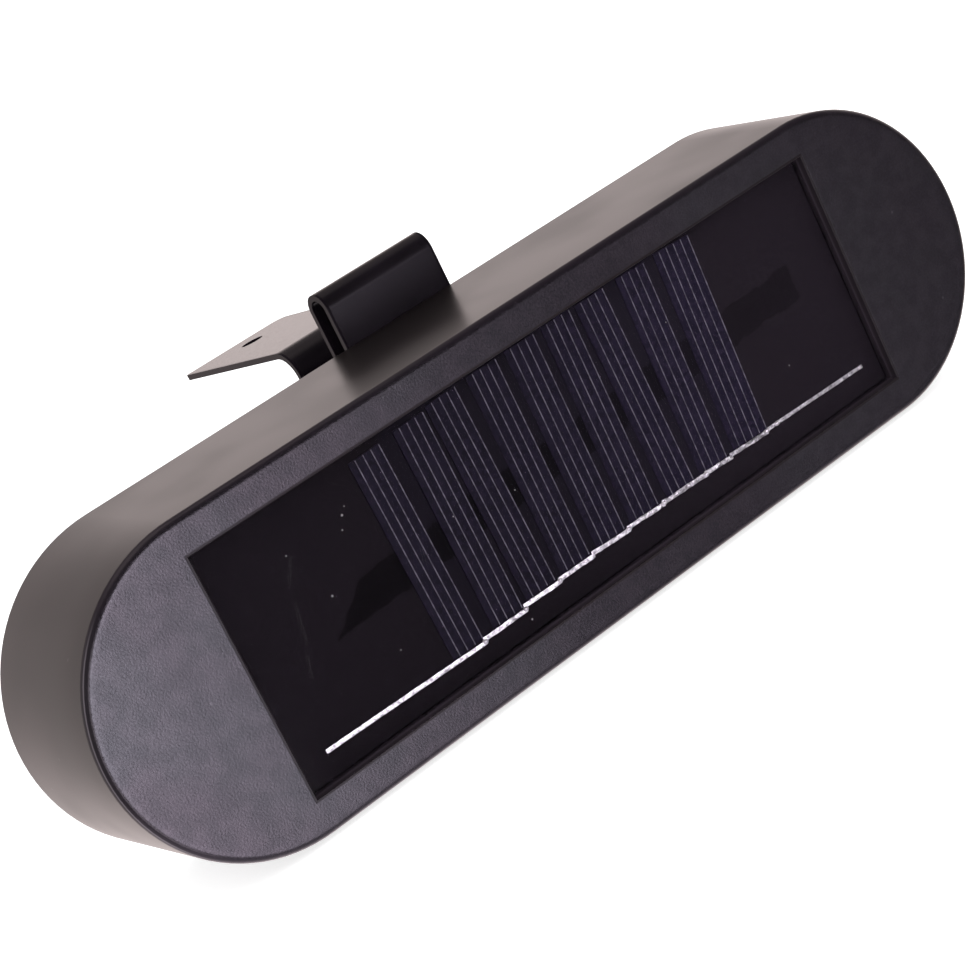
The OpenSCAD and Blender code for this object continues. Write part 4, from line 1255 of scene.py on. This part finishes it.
def mirrored_light(tree, studio, facing):
    """What glossy rays see: a backdrop behind the light, a lamp in front, and weaker glows."""
    towards = add(tree, "ShaderNodeTexCoord").outputs["Generated"]
    side = axes_of(tree, towards)
    x, y, z = side["X"], side["Y"], side["Z"]

    # The backdrop is dimmed towards the top, the middle and the right
    backdrop = product(tree, between(tree, along(tree, towards, facing), -0.1, 0.9, 0.05, studio.backdrop),
                       between(tree, z, 0.2, 0.75, 1.0, 0.25), between(tree, y, 0.90, 0.96, 1.0, 0.72),
                       between(tree, x, -0.1, -0.35, 1.0, 1.04))
    right = between(tree, x, 0.1, 0.4)
    for dimmed, least in ((band(tree, z, 0.10, 0.21, 0.05), 0.88), (between(tree, z, 0.30, 0.55), 0.5)):
        backdrop = product(tree, backdrop,
                           between(tree, product(tree, dimmed, right), 0, 1, 1.0, least))

    # The lamp stands low in front, and is a little stronger at its top
    lamp = product(tree, between(tree, z, 0.13, 0.0), between(tree, z, -0.58, -0.42),
                   between(tree, z, -0.40, -0.18, 0.90, 1.12), between(tree, x, 0.350, 0.300),
                   between(tree, x, -0.12, 0.05), between(tree, y, -0.3, -0.6), studio.front_light)

    # The glows: from above, from below, and from the left and overhead, for other views
    above = product(tree, between(tree, z, 0.55, 0.8), between(tree, y, -0.05, 0.2), 0.2)
    below = product(tree, between(tree, z, -0.52, -0.68), between(tree, x, 0.38, 0.52, 0.75, 0.3))
    aside = product(tree, between(tree, x, -0.40, -0.60), between(tree, y, 0.72, 0.55),
                    between(tree, y, -0.1, 0.2, 0.2, 1.0))
    aside = maths(tree, "MAXIMUM", aside, between(tree, z, 0.86, 0.96))
    above = maths(tree, "MAXIMUM", above, product(tree, aside, 0.8))
    warm = scaled(tree, (1.07, 0.93, 0.905), maths(tree, "ADD", backdrop, above))
    cool = scaled(tree, (1.00, 0.91, 1.06), maths(tree, "ADD", lamp, below))
    return add(tree, "ShaderNodeVectorMath", {0: warm, 1: cool}, operation="ADD").outputs[0]


def add_world(scene, studio, facing):
    """Adds the light: white for the camera, shaped for glossy rays and even for the rest."""
    world = bpy.data.worlds.new("studio")
    scene.world = world
    world.use_nodes = True
    world.cycles.sampling_method = "NONE"
    tree = world.node_tree
    tree.nodes.clear()
    ray = add(tree, "ShaderNodeLightPath").outputs
    straight = maths(tree, "MAXIMUM", ray["Is Camera Ray"], ray["Is Transmission Ray"])
    soft = [studio.soft_light] * 3
    colour = mixed(tree, ray["Is Glossy Ray"], soft, mirrored_light(tree, studio, facing))
    colour = mixed(tree, straight, colour, (1, 1, 1))
    light = add(tree, "ShaderNodeBackground", {"Color": colour, "Strength": 1.0})
    add(tree, "ShaderNodeOutputWorld", {"Surface": light.outputs[0]})


class GUTTER_OT_studio(Operator):
    """Adds the floor, the soft light and the camera"""
    bl_idname = "gutter.studio"
    bl_label = "Studio"

    def execute(self, context):
        scene = context.scene
        facing = add_camera(scene)
        add_floor()
        add_world(scene, scene.gutter_studio, facing)
        scene.view_settings.view_transform = "Standard"
        return {"FINISHED"}


class GUTTER_PT_panel(Panel):
    bl_idname = "GUTTER_PT_panel"
    bl_label = "Gutter Light"
    bl_space_type = "VIEW_3D"
    bl_region_type = "UI"
    bl_category = "Gutter Light"

    def draw(self, context):
        for settings in (context.scene.gutter_case, context.scene.gutter_bracket,
                         context.scene.gutter_studio):
            box = self.layout.box()
            for name in settings.__annotations__:
                box.prop(settings, name)
        for kind in OPERATORS:
            self.layout.operator(kind.bl_idname)


OPERATORS = [GUTTER_OT_studio, GUTTER_OT_finishes, GUTTER_OT_case_shell, GUTTER_OT_rear_cover,
             GUTTER_OT_bracket, GUTTER_OT_solder_tabs, GUTTER_OT_lens, GUTTER_OT_knob,
             GUTTER_OT_screws]
CLASSES = [CaseSettings, BracketSettings, StudioSettings, *OPERATORS, GUTTER_PT_panel]


def register():
    for kind in CLASSES:
        bpy.utils.register_class(kind)
    bpy.types.Scene.gutter_case = PointerProperty(type=CaseSettings)
    bpy.types.Scene.gutter_bracket = PointerProperty(type=BracketSettings)
    bpy.types.Scene.gutter_studio = PointerProperty(type=StudioSettings)


def unregister():
    del bpy.types.Scene.gutter_case
    del bpy.types.Scene.gutter_bracket
    del bpy.types.Scene.gutter_studio
    for kind in reversed(CLASSES):
        bpy.utils.unregister_class(kind)


def main():
    register()
    bpy.ops.gutter.studio()
    bpy.ops.gutter.finishes()
    bpy.ops.gutter.case_shell()
    bpy.ops.gutter.rear_cover()
    bpy.ops.gutter.bracket()
    bpy.ops.gutter.solder_tabs()
    bpy.ops.gutter.lens()
    bpy.ops.gutter.knob()
    bpy.ops.gutter.screws()


if __name__ == "__main__":
    main()
